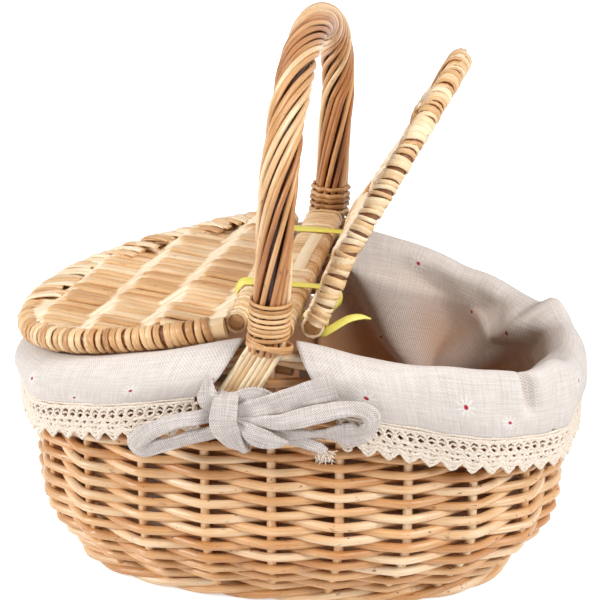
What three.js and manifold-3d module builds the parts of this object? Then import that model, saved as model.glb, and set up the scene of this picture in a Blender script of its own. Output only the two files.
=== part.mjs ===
// Lidded willow picnic basket with a hoop handle and a linen liner, in millimetres, +Z up.
// The origin is the middle of the base on the table, +X runs along the oval, +Y to the back.
import * as THREE from 'three';
import { mergeVertices } from 'three/addons/utils/BufferGeometryUtils.js';
import Module from 'manifold-3d';

const wasm = await Module();
wasm.setup();

// Oval body
const OVAL_POWER = 2.4;
const OVAL_TABLE_STEPS = 7200;
const BASE_LENGTH = 238;
const BASE_SHIFT = -3;
const BASE_WIDTH = 150;
const BASE_THICKNESS = 6;
const FOOT_RADIUS = 4.5;
const FOOT_FLAT = 0.5;
const WALL_LENGTH = 282;
const WALL_WIDTH = 192;
const WALL_THICKNESS = 5;
const WALL_TOP = 139.5;
const WALL_TOP_DROP = 34;
const WALL_TOP_POWER = 1.2;
const BULGE_HEIGHT = 48;
const BULGE_POWER = 2;
const BULGE_LEVELS = [0, 0.22, 0.5, 1];
const RIM_RADIUS = 4.6;
const STAKE_COUNT = 22;
const ROW_PITCH = 4;
const ROW_SINK = 3.8;
const ROW_SINK_BETWEEN = 3;
const STAKE_RADIUS = 1.8;
const HOOP_RADIUS = 2.1;
const FIT = 0.4;

// Liner
const LINEN = 1.6;
const LINER_SLACK = 0.6;
const LINER_FIT = 0.9;
const LEFT_CUFF_DROP = 21;
const RIGHT_CUFF_DROP = 25;
const CUFF_BULGE = 9.5;
const CUFF_HEM_STANDOFF = 6;
const CUFF_GAP_TOP = 24;
const CUFF_GAP_HEM = 33;
const CUFF_FOLDS = 6;
const CUFF_FOLD_DEPTH = 1.1;
const CUFF_STEPS = 32;
const FOLD_ANGLES = [178, 120, 62, 8];
const LACE_HEIGHT = 19.5;
const LACE_TOOTH = 5;
const LACE_TEETH = 24;
const LACE_THICKNESS = 1.2;

// Bows
const BOW_BAND = 7;
const BOW_DEPTH = 5;
const KNOT_WIDTH = 15;
const KNOT_HEIGHT = 30;
const KNOT_DEPTH = 13;
const KNOT_SIDES = 10;
const KNOT_X = -17;
const KNOT_BELOW_RIM = 21;
const STRAP_RISE = 0.45;
const STRAP_BELOW_CUFF_TOP = 17;
const LEFT_LOOP_LENGTH = 48;
const LEFT_LOOP_HEIGHT = 21;
const LEFT_LOOP_DROOP = 13;
const RIGHT_LOOP_LENGTH = 64;
const RIGHT_LOOP_HEIGHT = 19;
const RIGHT_LOOP_RISE = 3;
const LEFT_LOOP_SWING = 5;

// Handle
const HANDLE_SPREAD = 200;
const HANDLE_TOP = 288;
const HANDLE_ARCH_HEIGHT = 66;
const HANDLE_LEAN = 9;
const HANDLE_CORE_RADIUS = 5.4;
const HANDLE_ROD_COUNT = 8;
const HANDLE_ROD_RADIUS = 2.4;
const HANDLE_TURNS = 2.7;
const HANDLE_EASE = 0.4;
const HANDLE_STEPS = 34;
const BINDING_TURNS = 6;
const BINDING_CANE = 2.4;
const BINDING_PITCH = 3.3;
const FAN_RODS = 6;
const FAN_ROD_RADIUS = 2;
const FAN_PITCH = 3.5;
const FAN_DROP = 36;
const FAN_SLANT = -23;

// Crossbar
const CROSSBAR_ROD_RADIUS = 4.2;
const CROSSBAR_TURNS = 15;
const CROSSBAR_STRIP_WIDTH = 9;
const STRIP_THICKNESS = 1.1;

// Lids
const LID_WIDTH = 168;
const LID_REACH = 127;
const LID_POWER = 2.3;
const LID_BOW_RADIUS = 4.3;
const LID_BOW_STEPS = 26;
const LID_BOW_TURNS = 24;
const LID_BOW_STRIP_WIDTH = 10.5;
const HINGE_ROD_RADIUS = 4;
const HINGE_ROD_TURNS = 11;
const HINGE_ROD_STRIP_WIDTH = 10;
const HINGE_ROD_OVERHANG = 5;
const LID_PANEL_THICKNESS = 3;
const LID_PANEL_WAVE = 2.4;
const LID_PANEL_LIFT = 2.6;
const LID_PANEL_DRIFT = 0.17;
const LID_PANEL_CRESTS = 3;
const LID_RIB_RADIUS = 1.8;
const LEFT_LID_ANGLE = -13.2;
const RIGHT_LID_ANGLE = 61.5;

// Ties
const TIE_FRONT_FROM_END = 44;
const TIE_BACK_FROM_END = 38;
const TIE_WIDTH = 3;
const TIE_THICKNESS = 1.2;
const TIE_NOTCH_MARGIN = 1.6;
const TAIL_FROM_END = 14;
const TAIL_LENGTH = 27;
const TAIL_RISE = 11;
const TAIL_FORWARD = 9;
const TAIL_DROOP_ANGLE = 40;
const TAIL_BEND = 0.5;
const TAIL_BEND_FORWARD = 0.6;

// The oval has two facets from stake to stake
const ovalSteps = 2 * STAKE_COUNT;

// Where the ties and the tail lie along the hinge
const tiePlaces = { front: TIE_FRONT_FROM_END - LID_WIDTH / 2, back: LID_WIDTH / 2 - TIE_BACK_FROM_END };
const tailPlace = TAIL_FROM_END - LID_WIDTH / 2;

const up = new THREE.Vector3(0, 0, 1);
const deg = THREE.MathUtils.degToRad;

const willow = new THREE.MeshStandardMaterial({ color: 0xcb9c63, roughness: 0.5, metalness: 0 });
const willowDark = new THREE.MeshStandardMaterial({ color: 0x9c6a3a, roughness: 0.6, metalness: 0 });
const cane = new THREE.MeshStandardMaterial({ color: 0xe0c08d, roughness: 0.45, metalness: 0 });
const linen = new THREE.MeshStandardMaterial({ color: 0xd6ccc0, roughness: 0.95, metalness: 0 });
const bowLinen = new THREE.MeshStandardMaterial({ color: 0xc9c5c0, roughness: 0.95, metalness: 0 });
const laceThread = new THREE.MeshStandardMaterial({ color: 0xeae0cc, roughness: 0.95, metalness: 0 });
const yellowTie = new THREE.MeshStandardMaterial({ color: 0xe0d45c, roughness: 0.4, metalness: 0 });

const basket = new THREE.Group();

function add(parent, name, geometry, material) {
  const mesh = new THREE.Mesh(geometry, material);
  mesh.name = name;
  parent.add(mesh);
  return mesh;
}

// Solid made of rings of points in order, joined ring to ring: closed round, or capped at both ends,
// with its faces turned out whichever way the rings run.
function loft(rings, closed) {
  const size = rings[0].length;
  const position = rings.flat().flatMap((p) => [p.x, p.y, p.z]);
  const index = [];
  const spans = closed ? rings.length : rings.length - 1;
  for (let i = 0; i < spans; i++) {
    const a = i * size;
    const b = ((i + 1) % rings.length) * size;
    for (let j = 0; j < size; j++) {
      const k = (j + 1) % size;
      index.push(a + j, a + k, b + k, a + j, b + k, b + j);
    }
  }
  if (!closed) {
    for (const [ring, first] of [[rings[0], 0], [rings[rings.length - 1], (rings.length - 1) * size]]) {
      const centre = ring.reduce((sum, p) => sum.add(p), new THREE.Vector3()).divideScalar(size);
      const c = position.length / 3;
      position.push(centre.x, centre.y, centre.z);
      for (let j = 0; j < size; j++) {
        const k = (j + 1) % size;
        if (first === 0) index.push(c, first + k, first + j);
        else index.push(c, first + j, first + k);
      }
    }
  }
  const corner = (i) => new THREE.Vector3().fromArray(position, 3 * index[i]);
  let volume = 0;
  for (let i = 0; i < index.length; i += 3) {
    volume += corner(i).dot(corner(i + 1).cross(corner(i + 2)));
  }
  if (volume < 0) index.reverse();
  const geometry = new THREE.BufferGeometry();
  geometry.setAttribute('position', new THREE.Float32BufferAttribute(position, 3));
  geometry.setIndex(index);
  geometry.computeVertexNormals();
  return geometry;
}

function polygon(radius, sides) {
  const points = [];
  for (let k = 0; k < sides; k++) {
    const a = (2 * Math.PI * k) / sides;
    points.push(new THREE.Vector2(radius * Math.cos(a), radius * Math.sin(a)));
  }
  return new THREE.Shape(points);
}

function rod(curve, radius, sides, steps) {
  return new THREE.ExtrudeGeometry(polygon(radius, sides), { steps, bevelEnabled: false, extrudePath: curve });
}

function straightRod(from, to, radius, sides) {
  return rod(new THREE.LineCurve3(from, to), radius, sides, 1);
}

function solidOf(geometry) {
  const bare = geometry.clone();
  bare.deleteAttribute('normal');
  bare.deleteAttribute('uv');
  const merged = mergeVertices(bare, 1e-4);
  const vertProperties = new Float32Array(merged.attributes.position.array);
  const triVerts = new Uint32Array(merged.index.array);
  return new wasm.Manifold(new wasm.Mesh({ numProp: 3, vertProperties, triVerts }));
}

function geometryOf(solid) {
  const mesh = solid.getMesh();
  const geometry = new THREE.BufferGeometry();
  geometry.setAttribute('position', new THREE.BufferAttribute(new Float32Array(mesh.vertProperties), 3));
  geometry.setIndex(Array.from(mesh.triVerts));
  geometry.computeVertexNormals();
  return geometry;
}

function joined(geometries) {
  return geometryOf(geometries.map(solidOf).reduce((sum, solid) => sum.add(solid)));
}

// Least distance between points of a winding that lie three quarters of a turn or more apart.
function leastGap(rings, stepsPerTurn) {
  const apart = Math.ceil(stepsPerTurn * 0.75);
  let least = Infinity;
  for (let i = 0; i < rings.length; i++) {
    for (let j = i + apart; j < Math.min(rings.length, i + apart + stepsPerTurn); j++) {
      for (const p of rings[i]) {
        for (const q of rings[j]) least = Math.min(least, p.distanceTo(q));
      }
    }
  }
  return least;
}

// Strip wound round a straight or bent core: place(along) is the core's centre line with its two cross axes,
// and hull(angle) is where the strip's underside lies in those axes.
function winding(name, { place, hull, length, turns, steps, width, thickness }) {
  const rings = [];
  const count = turns * steps;
  for (let i = 0; i <= count; i++) {
    const angle = (2 * Math.PI * (i + 0.5)) / steps;
    const along = width / 2 + ((length - width) * i) / count;
    const [across, rise, normal] = hull(angle);
    const corner = (shift, lift) => {
      const { centre, side, top } = place(along + shift);
      return centre
        .clone()
        .addScaledVector(side, across + lift * normal[0])
        .addScaledVector(top, rise + lift * normal[1]);
    };
    rings.push([
      corner(-width / 2, 0),
      corner(width / 2, 0),
      corner(width / 2, thickness),
      corner(-width / 2, thickness),
    ]);
  }
  console.log(name, 'least gap to itself', leastGap(rings, steps).toFixed(2), 'mm');
  return loft(rings, false);
}

// Clearance that keeps the flats of a faceted winding off a round core.
function windingRadius(coreRadius, steps) {
  return (coreRadius + FIT) / Math.cos(Math.PI / steps);
}

// Distance from the core's middle to the winding's outer flats.
function windingFlat(outerRadius, steps) {
  return outerRadius * Math.cos(Math.PI / steps);
}

// Plan outlines. A place on the oval is a share of its length, from the right end round by the back.
function ovalPoint(halfLength, halfWidth, angle) {
  const c = Math.cos(angle);
  const s = Math.sin(angle);
  const x = halfLength * Math.sign(c) * Math.abs(c) ** (2 / OVAL_POWER);
  const y = halfWidth * Math.sign(s) * Math.abs(s) ** (2 / OVAL_POWER);
  return new THREE.Vector2(x, y);
}

const ovalTable = [];
{
  let length = 0;
  let last = ovalPoint(WALL_LENGTH / 2, WALL_WIDTH / 2, 0);
  for (let i = 0; i <= OVAL_TABLE_STEPS; i++) {
    const angle = (2 * Math.PI * i) / OVAL_TABLE_STEPS;
    const point = ovalPoint(WALL_LENGTH / 2, WALL_WIDTH / 2, angle);
    length += point.distanceTo(last);
    ovalTable.push({ angle, length });
    last = point;
  }
}
const ovalLength = ovalTable[ovalTable.length - 1].length;

function angleAt(share) {
  const wrapped = share - Math.floor(share);
  const target = wrapped * ovalLength;
  let low = 0;
  let high = ovalTable.length - 1;
  while (high - low > 1) {
    const mid = (low + high) >> 1;
    if (ovalTable[mid].length <= target) low = mid;
    else high = mid;
  }
  const a = ovalTable[low];
  const b = ovalTable[high];
  return a.angle + ((b.angle - a.angle) * (target - a.length)) / Math.max(b.length - a.length, 1e-9);
}

const footTop = 2 * FOOT_RADIUS - FOOT_FLAT;
const wallFoot = footTop + FIT;

function bulge(z) {
  const left = 1 - Math.min(Math.max((z - wallFoot) / (BULGE_HEIGHT - wallFoot), 0), 1);
  return 1 - left ** BULGE_POWER;
}

// Heights shared by everything that follows the bulge, so that their facets stay parallel.
const bulgeHeights = BULGE_LEVELS.map((level) => wallFoot + (BULGE_HEIGHT - wallFoot) * level);

// How much longer a level distance is than the same distance square to the bulge at its foot.
const bulgeSpread = (WALL_LENGTH - BASE_LENGTH) / 2 + Math.abs(BASE_SHIFT);
const bulgeRun = (bulgeSpread * BULGE_POWER) / (BULGE_HEIGHT - wallFoot);
const bulgeStretch = Math.hypot(1, bulgeRun);

// Point of the wall's outside at a place and height, moved in by an inset.
function wallPoint(share, z, inset) {
  const k = bulge(z);
  const halfLength = (BASE_LENGTH + (WALL_LENGTH - BASE_LENGTH) * k) / 2 - inset;
  const halfWidth = (BASE_WIDTH + (WALL_WIDTH - BASE_WIDTH) * k) / 2 - inset;
  const p = ovalPoint(halfLength, halfWidth, angleAt(share));
  return new THREE.Vector3(p.x + BASE_SHIFT * (1 - k), p.y, z);
}

function wallTop(share) {
  const p = ovalPoint(WALL_LENGTH / 2, WALL_WIDTH / 2, angleAt(share));
  return WALL_TOP - WALL_TOP_DROP * Math.abs((2 * p.x) / WALL_LENGTH) ** WALL_TOP_POWER;
}

function outward(share) {
  const z = WALL_TOP;
  const inner = wallPoint(share, z, 1);
  const dx = wallPoint(share + 1e-4, z, 1).sub(wallPoint(share - 1e-4, z, 1));
  const normal = new THREE.Vector3(dx.y, -dx.x, 0).normalize();
  return inner.dot(normal) < 0 ? normal.negate() : normal;
}

function places(count) {
  return Array.from({ length: count }, (_, i) => i / count);
}

function baseRing(z, inset) {
  return places(ovalSteps).map((share) => {
    const p = ovalPoint(BASE_LENGTH / 2 - inset, BASE_WIDTH / 2 - inset, angleAt(share));
    return new THREE.Vector3(p.x + BASE_SHIFT, p.y, z);
  });
}

// Ring of points round a tube's centre, in the plane of the outward direction and the vertical.
function tubeRing(centre, normal, radius, sides, flatBelow = -Infinity) {
  const ring = [];
  for (let k = 0; k < sides; k++) {
    const a = (2 * Math.PI * (k + 0.5)) / sides;
    const p = centre.clone();
    p.addScaledVector(normal, radius * Math.cos(a)).addScaledVector(up, radius * Math.sin(a));
    p.z = Math.max(p.z, flatBelow);
    ring.push(p);
  }
  return ring;
}

// Base panel, foot border and wall
const footInset = FOOT_RADIUS;
const baseInset = 2 * FOOT_RADIUS + FIT;
add(basket, 'base_panel', loft([
  baseRing(0, baseInset),
  baseRing(BASE_THICKNESS, baseInset),
], false), willowDark);

add(basket, 'foot_border', loft(places(ovalSteps).map((share) => {
  const centre = wallPoint(share, 0, footInset).setZ(FOOT_RADIUS - FOOT_FLAT);
  return tubeRing(centre, outward(share), FOOT_RADIUS, 6, 0);
}), true), willow);

// Woven rows: each stands out at every other stake, where it passes in front, and sinks in behind the others
const rowCount = Math.floor((WALL_TOP - WALL_TOP_DROP - wallFoot) / ROW_PITCH);
const rowHeights = Array.from({ length: rowCount }, (_, row) => wallFoot + ROW_PITCH * (row + 0.5));

function rowSink(step, row) {
  if (step % 2 === 0) return ROW_SINK_BETWEEN;
  return ((step - 1) / 2 + row) % 2 === 0 ? 0 : ROW_SINK;
}

add(basket, 'wall_weave', loft(places(ovalSteps).map((share, step) => {
  const rows = rowHeights.map((z, row) => wallPoint(share, z, rowSink(step, row)));
  const outside = [wallPoint(share, wallFoot, 0), ...rows, wallPoint(share, wallTop(share), 0)];
  const heights = [...bulgeHeights, wallTop(share)];
  const inside = heights.map((z) => wallPoint(share, z, WALL_THICKNESS)).reverse();
  return [...outside, ...inside];
}), true), willow);

// Stakes on their hoop, inside the weave
const stakeInset = WALL_THICKNESS + FIT + STAKE_RADIUS;
const hoopHeight = Math.max(BASE_THICKNESS, footTop) + FIT + HOOP_RADIUS;
const hoopInset = WALL_THICKNESS + (FIT + HOOP_RADIUS) * bulgeStretch;
const hoop = loft(places(ovalSteps).map((share) => {
  return tubeRing(wallPoint(share, hoopHeight, hoopInset), outward(share), HOOP_RADIUS, 5);
}), true);
const stakes = places(STAKE_COUNT).map((place) => {
  const share = place + 0.5 / STAKE_COUNT;
  const heights = [...bulgeHeights.filter((z) => z > hoopHeight), wallTop(share) - FIT];
  const foot = wallPoint(share, hoopHeight, hoopInset);
  const points = [foot, ...heights.map((z) => wallPoint(share, z, stakeInset))];
  return loft(points.map((p) => tubeRingFlat(p, outward(share), STAKE_RADIUS, 4)), false);
});
add(basket, 'stake_frame', joined([hoop, ...stakes]), willow);

// Level ring of points, for an upright rod.
function tubeRingFlat(centre, normal, radius, sides) {
  const side = new THREE.Vector3().crossVectors(up, normal);
  const ring = [];
  for (let k = 0; k < sides; k++) {
    const a = (2 * Math.PI * (k + 0.5)) / sides;
    const p = centre.clone();
    ring.push(p.addScaledVector(normal, radius * Math.cos(a)).addScaledVector(side, radius * Math.sin(a)));
  }
  return ring;
}

const rimInset = RIM_RADIUS + FIT / 2;

// Point beside the wall's top edge: out from the wall's outside, and up from the edge.
function edgePoint(share, offset, height) {
  const edge = wallPoint(share, WALL_TOP, 0).addScaledVector(outward(share), offset);
  return edge.setZ(wallTop(share) + height);
}

add(basket, 'rim_border', loft(places(ovalSteps).map((share) => {
  return tubeRing(edgePoint(share, -rimInset, FIT + RIM_RADIUS), outward(share), RIM_RADIUS, 6);
}), true), willowDark);
const rimTop = WALL_TOP + FIT + 2 * RIM_RADIUS;

// Liner bag, which hangs clear of the hoop and stakes and ends level with the rim's middle
const bagTopInset = rimInset + RIM_RADIUS + LINER_FIT;
const bagFloor = BASE_THICKNESS + FIT;
const bagFootInset = hoopInset + (HOOP_RADIUS + FIT) * bulgeStretch + LINER_SLACK;
function bagRing(level, skin) {
  return places(ovalSteps).map((share) => {
    const heights = [bagFloor + skin, ...bulgeHeights];
    if (level === heights.length) return edgePoint(share, -bagTopInset - skin, RIM_RADIUS);
    return wallPoint(share, heights[level], bagFootInset + skin);
  });
}
const bagLevels = Array.from({ length: bulgeHeights.length + 2 }, (_, i) => i);
add(basket, 'liner_bag', loft([
  ...bagLevels.map((level) => bagRing(level, 0)),
  ...bagLevels.map((level) => bagRing(level, LINEN)).reverse(),
], false), linen);

// Cuffs folded out over the rim, and the lace under them
const foldRadius = RIM_RADIUS + LINER_FIT + LINEN / 2;
const cuffTop = FIT + RIM_RADIUS + foldRadius + LINEN / 2;
const cuffDrops = { left: LEFT_CUFF_DROP, right: RIGHT_CUFF_DROP };

function cuffSection(side, wave) {
  const points = [];
  for (const a of FOLD_ANGLES) {
    points.push(new THREE.Vector2(
      -rimInset + foldRadius * Math.cos(deg(a)),
      FIT + RIM_RADIUS + foldRadius * Math.sin(deg(a)),
    ));
  }
  const from = points[points.length - 1];
  const hem = new THREE.Vector2(CUFF_HEM_STANDOFF + wave, cuffTop - cuffDrops[side]);
  const bend = new THREE.Vector2(CUFF_BULGE + wave, (from.y + hem.y) / 2);
  const skirt = new THREE.QuadraticBezierCurve(from, bend, hem);
  for (const t of [0.3, 0.65, 1]) points.push(skirt.getPoint(t));
  return points;
}

function cuffShare(side, turn, gap) {
  const reach = 0.25 - gap / ovalLength;
  return (side === 'left' ? 0.5 : 0) - reach + 2 * reach * turn;
}

function cuffWave(turn) {
  const ends = Math.sin(Math.PI * turn);
  return CUFF_FOLD_DEPTH * Math.sin(2 * Math.PI * CUFF_FOLDS * turn) * ends;
}

function cuff(side) {
  const rings = [];
  for (let i = 0; i <= CUFF_STEPS; i++) {
    const turn = i / CUFF_STEPS;
    const section = cuffSection(side, cuffWave(turn));
    const skin = section.map((p, k) => {
      const before = section[Math.max(k - 1, 0)];
      const after = section[Math.min(k + 1, section.length - 1)];
      return new THREE.Vector2(-(after.y - before.y), after.x - before.x).normalize();
    });
    const shareAt = (k) => {
      const low = Math.max(k - FOLD_ANGLES.length + 1, 0) / (section.length - FOLD_ANGLES.length);
      return cuffShare(side, turn, CUFF_GAP_TOP + (CUFF_GAP_HEM - CUFF_GAP_TOP) * low);
    };
    const layer = (lift) => section.map((p, k) => {
      return edgePoint(shareAt(k), p.x + skin[k].x * lift, p.y + skin[k].y * lift);
    });
    rings.push([...layer(-LINEN / 2), ...layer(LINEN / 2).reverse()]);
  }
  return loft(rings, false);
}

function lace(side) {
  const rings = [];
  const steps = LACE_TEETH * 2;
  for (let i = 0; i <= steps; i++) {
    const turn = i / steps;
    const share = cuffShare(side, turn, CUFF_GAP_HEM);
    const offset = CUFF_HEM_STANDOFF + cuffWave(turn);
    const top = cuffTop - cuffDrops[side] - FIT;
    const low = top - LACE_HEIGHT + (i % 2 === 0 ? LACE_TOOTH : 0);
    rings.push([
      edgePoint(share, offset - LACE_THICKNESS / 2, top),
      edgePoint(share, offset - LACE_THICKNESS / 2, low),
      edgePoint(share, offset + LACE_THICKNESS / 2, low),
      edgePoint(share, offset + LACE_THICKNESS / 2, top),
    ]);
  }
  return loft(rings, false);
}

for (const side of ['left', 'right']) {
  add(basket, side + '_cuff', cuff(side), linen);
  add(basket, side + '_lace', lace(side), laceThread);
}

// Handle: a leg, an arch and a leg, leaning a little to the right
const handleFoot = rimTop + FIT;
const archFoot = HANDLE_TOP - HANDLE_ARCH_HEIGHT;
const legLength = archFoot - handleFoot;
const archLength = Math.PI * Math.sqrt(((HANDLE_SPREAD / 2) ** 2 + HANDLE_ARCH_HEIGHT ** 2) / 2);
const handleLength = 2 * legLength + archLength;

function handlePoint(share) {
  const along = share * handleLength;
  let y = -HANDLE_SPREAD / 2;
  let z = handleFoot + along;
  if (along > legLength + archLength) {
    y = HANDLE_SPREAD / 2;
    z = handleFoot + handleLength - along;
  } else if (along > legLength) {
    const a = (Math.PI * (along - legLength)) / archLength;
    y = (-HANDLE_SPREAD / 2) * Math.cos(a);
    z = archFoot + HANDLE_ARCH_HEIGHT * Math.sin(a);
  }
  const lean = Math.sin((Math.PI / 2) * ((z - handleFoot) / (HANDLE_TOP - handleFoot)));
  return new THREE.Vector3(HANDLE_LEAN * lean, y, z);
}

function handleFrame(share) {
  const step = 1e-3;
  const before = handlePoint(Math.max(share - step, 0));
  const after = handlePoint(Math.min(share + step, 1));
  const along = after.sub(before).normalize();
  const side = new THREE.Vector3(1, 0, 0);
  side.addScaledVector(along, -side.dot(along)).normalize();
  return { centre: handlePoint(share), side, top: new THREE.Vector3().crossVectors(along, side) };
}

const handleRing = HANDLE_CORE_RADIUS + FIT + HANDLE_ROD_RADIUS;
const handleRadius = handleRing + HANDLE_ROD_RADIUS;

class HandleStrand extends THREE.Curve {
  constructor(start, radius) {
    super();
    this.start = start;
    this.radius = radius;
  }
  getPoint(t, target = new THREE.Vector3()) {
    const turned = t - (HANDLE_EASE * Math.sin(2 * Math.PI * t)) / (2 * Math.PI);
    const angle = this.start + 2 * Math.PI * HANDLE_TURNS * turned;
    const { centre, side, top } = handleFrame(t);
    return target
      .copy(centre)
      .addScaledVector(side, this.radius * Math.cos(angle))
      .addScaledVector(top, this.radius * Math.sin(angle));
  }
}

add(basket, 'handle_core', rod(new HandleStrand(0, 0), HANDLE_CORE_RADIUS, 6, HANDLE_STEPS), willowDark);
for (let i = 0; i < HANDLE_ROD_COUNT; i++) {
  const strand = new HandleStrand((2 * Math.PI * i) / HANDLE_ROD_COUNT, handleRing);
  add(basket, 'handle_rod_' + (i + 1), rod(strand, HANDLE_ROD_RADIUS, 5, HANDLE_STEPS), willow);
}

// Cane bindings at the handle's feet
const bindingSteps = 8;
const bindingRadius = windingRadius(handleRadius, bindingSteps);
const bindingLength = BINDING_PITCH * BINDING_TURNS + BINDING_CANE;
for (const end of ['front', 'back']) {
  add(basket, end + '_handle_binding', winding(end + '_handle_binding', {
    place: (along) => {
      const rise = (FIT + along) / handleLength;
      return handleFrame(end === 'front' ? rise : 1 - rise);
    },
    hull: (angle) => {
      const turn = end === 'front' ? angle : -angle;
      const normal = [Math.cos(turn), Math.sin(turn)];
      return [bindingRadius * normal[0], bindingRadius * normal[1], normal];
    },
    length: bindingLength,
    turns: BINDING_TURNS,
    steps: bindingSteps,
    width: BINDING_CANE,
    thickness: BINDING_CANE,
  }), cane);
}

// Flat rows of rods that carry on from the handle's feet down the outside of the wall
const fanDepth = WALL_WIDTH / 2 + FIT + FAN_ROD_RADIUS;
for (const [end, turn] of [['front', 0], ['back', Math.PI]]) {
  const fan = new THREE.Group();
  fan.rotation.z = turn;
  basket.add(fan);
  const rods = [];
  for (let i = 0; i < FAN_RODS; i++) {
    const across = (i - (FAN_RODS - 1) / 2) * FAN_PITCH;
    rods.push(straightRod(
      new THREE.Vector3(across, -fanDepth, handleFoot - FAN_ROD_RADIUS),
      new THREE.Vector3(across + FAN_SLANT, -fanDepth, handleFoot - FAN_DROP),
      FAN_ROD_RADIUS,
      6,
    ));
  }
  add(fan, end + '_foot_fan', joined(rods), willow);
}

// Crossbar: two rods bound side by side with flat cane
const crossbarSteps = 8;
const crossbarHull = windingRadius(CROSSBAR_ROD_RADIUS, crossbarSteps);
const crossbarOffset = CROSSBAR_ROD_RADIUS + FIT / 2;
const crossbarHalfHeight = crossbarHull + STRIP_THICKNESS;
const crossbarHalfWidth = crossbarOffset + crossbarHalfHeight;
const crossbarHeight = rimTop + FIT + crossbarHalfHeight;
const bindingOuter = bindingRadius + BINDING_CANE;
const crossbarReach = HANDLE_SPREAD / 2 - windingFlat(bindingOuter, bindingSteps) - FIT;
const crossbar = new THREE.Group();
crossbar.position.set(0, 0, crossbarHeight);
basket.add(crossbar);
for (const [side, sign] of [['left', -1], ['right', 1]]) {
  add(crossbar, 'crossbar_rod_' + side, straightRod(
    new THREE.Vector3(sign * crossbarOffset, -crossbarReach, 0),
    new THREE.Vector3(sign * crossbarOffset, crossbarReach, 0),
    CROSSBAR_ROD_RADIUS,
    8,
  ), willow);
}
add(crossbar, 'crossbar_wrap', winding('crossbar_wrap', {
  place: (along) => ({
    centre: new THREE.Vector3(0, along - crossbarReach, 0),
    side: new THREE.Vector3(1, 0, 0),
    top: new THREE.Vector3(0, 0, -1),
  }),
  hull: (angle) => {
    const normal = [Math.cos(angle), Math.sin(angle)];
    const across = Math.sign(normal[0]) * crossbarOffset + crossbarHull * normal[0];
    return [across, crossbarHull * normal[1], normal];
  },
  length: 2 * crossbarReach,
  turns: CROSSBAR_TURNS,
  steps: crossbarSteps,
  width: CROSSBAR_STRIP_WIDTH,
  thickness: STRIP_THICKNESS,
}), cane);

// Lids, each in its own frame: the hinge rod lies along Y and the lid runs out along +X
const lidSteps = 6;
const lidBowHull = windingRadius(LID_BOW_RADIUS, lidSteps);
const lidBowOuter = lidBowHull + STRIP_THICKNESS;
const hingeRodHull = windingRadius(HINGE_ROD_RADIUS, lidSteps);
const hingeRodOuter = hingeRodHull + STRIP_THICKNESS;
const tieSteps = 8;
const tieInner = (Math.max(hingeRodOuter, crossbarHalfHeight) + FIT) / Math.cos(Math.PI / (2 * tieSteps));
const tieOuter = tieInner + TIE_THICKNESS;
const hingeX = crossbarHalfWidth + FIT + tieOuter;

function lidOutline(angle, inset) {
  const x = (LID_REACH - inset) * Math.sin(angle) ** (2 / LID_POWER);
  const c = Math.cos(angle);
  const y = -(LID_WIDTH / 2 - inset) * Math.sign(c) * Math.abs(c) ** (2 / LID_POWER);
  return new THREE.Vector2(x, y);
}

// Angle on the outline where it comes a given distance out from the hinge rod.
function lidStartAngle(distance, inset) {
  return Math.asin((distance / (LID_REACH - inset)) ** (LID_POWER / 2));
}

class LidBow extends THREE.Curve {
  constructor() {
    super();
    this.first = lidStartAngle(HINGE_ROD_RADIUS + FIT, 0);
  }
  getPoint(t, target = new THREE.Vector3()) {
    const p = lidOutline(this.first + (Math.PI - 2 * this.first) * t, 0);
    return target.set(p.x, p.y, 0);
  }
}

const lidBow = new LidBow();
const lidBowLength = lidBow.getLength();
function lidBowFrame(along) {
  const u = Math.min(Math.max(along / lidBowLength, 0), 1);
  const tangent = lidBow.getTangentAt(u);
  return {
    centre: lidBow.getPointAt(u),
    side: new THREE.Vector3().crossVectors(up, tangent).negate(),
    top: up.clone().negate(),
  };
}

const panelInset = windingFlat(lidBowOuter, lidSteps) + FIT;
const panelStart = windingFlat(hingeRodOuter, lidSteps) + FIT;
const notchDepth = tieOuter + TIE_NOTCH_MARGIN;
const notchHalf = TIE_WIDTH / 2 + TIE_NOTCH_MARGIN;

function panelOutline(notches) {
  const points = [];
  const first = lidStartAngle(panelStart, panelInset);
  for (let i = 0; i <= LID_BOW_STEPS; i++) {
    points.push(lidOutline(first + ((Math.PI - 2 * first) * i) / LID_BOW_STEPS, panelInset));
  }
  for (const y of notches.toSorted((a, b) => b - a)) {
    points.push(new THREE.Vector2(panelStart, y + notchHalf));
    points.push(new THREE.Vector2(notchDepth, y + notchHalf));
    points.push(new THREE.Vector2(notchDepth, y - notchHalf));
    points.push(new THREE.Vector2(panelStart, y - notchHalf));
  }
  return new THREE.Shape(points);
}

const wavePitch = (LID_REACH - panelInset - panelStart) / LID_PANEL_CRESTS;
const crestPlaces = Array.from({ length: LID_PANEL_CRESTS }, (_, i) => panelStart + wavePitch * (i + 0.5));

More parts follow.
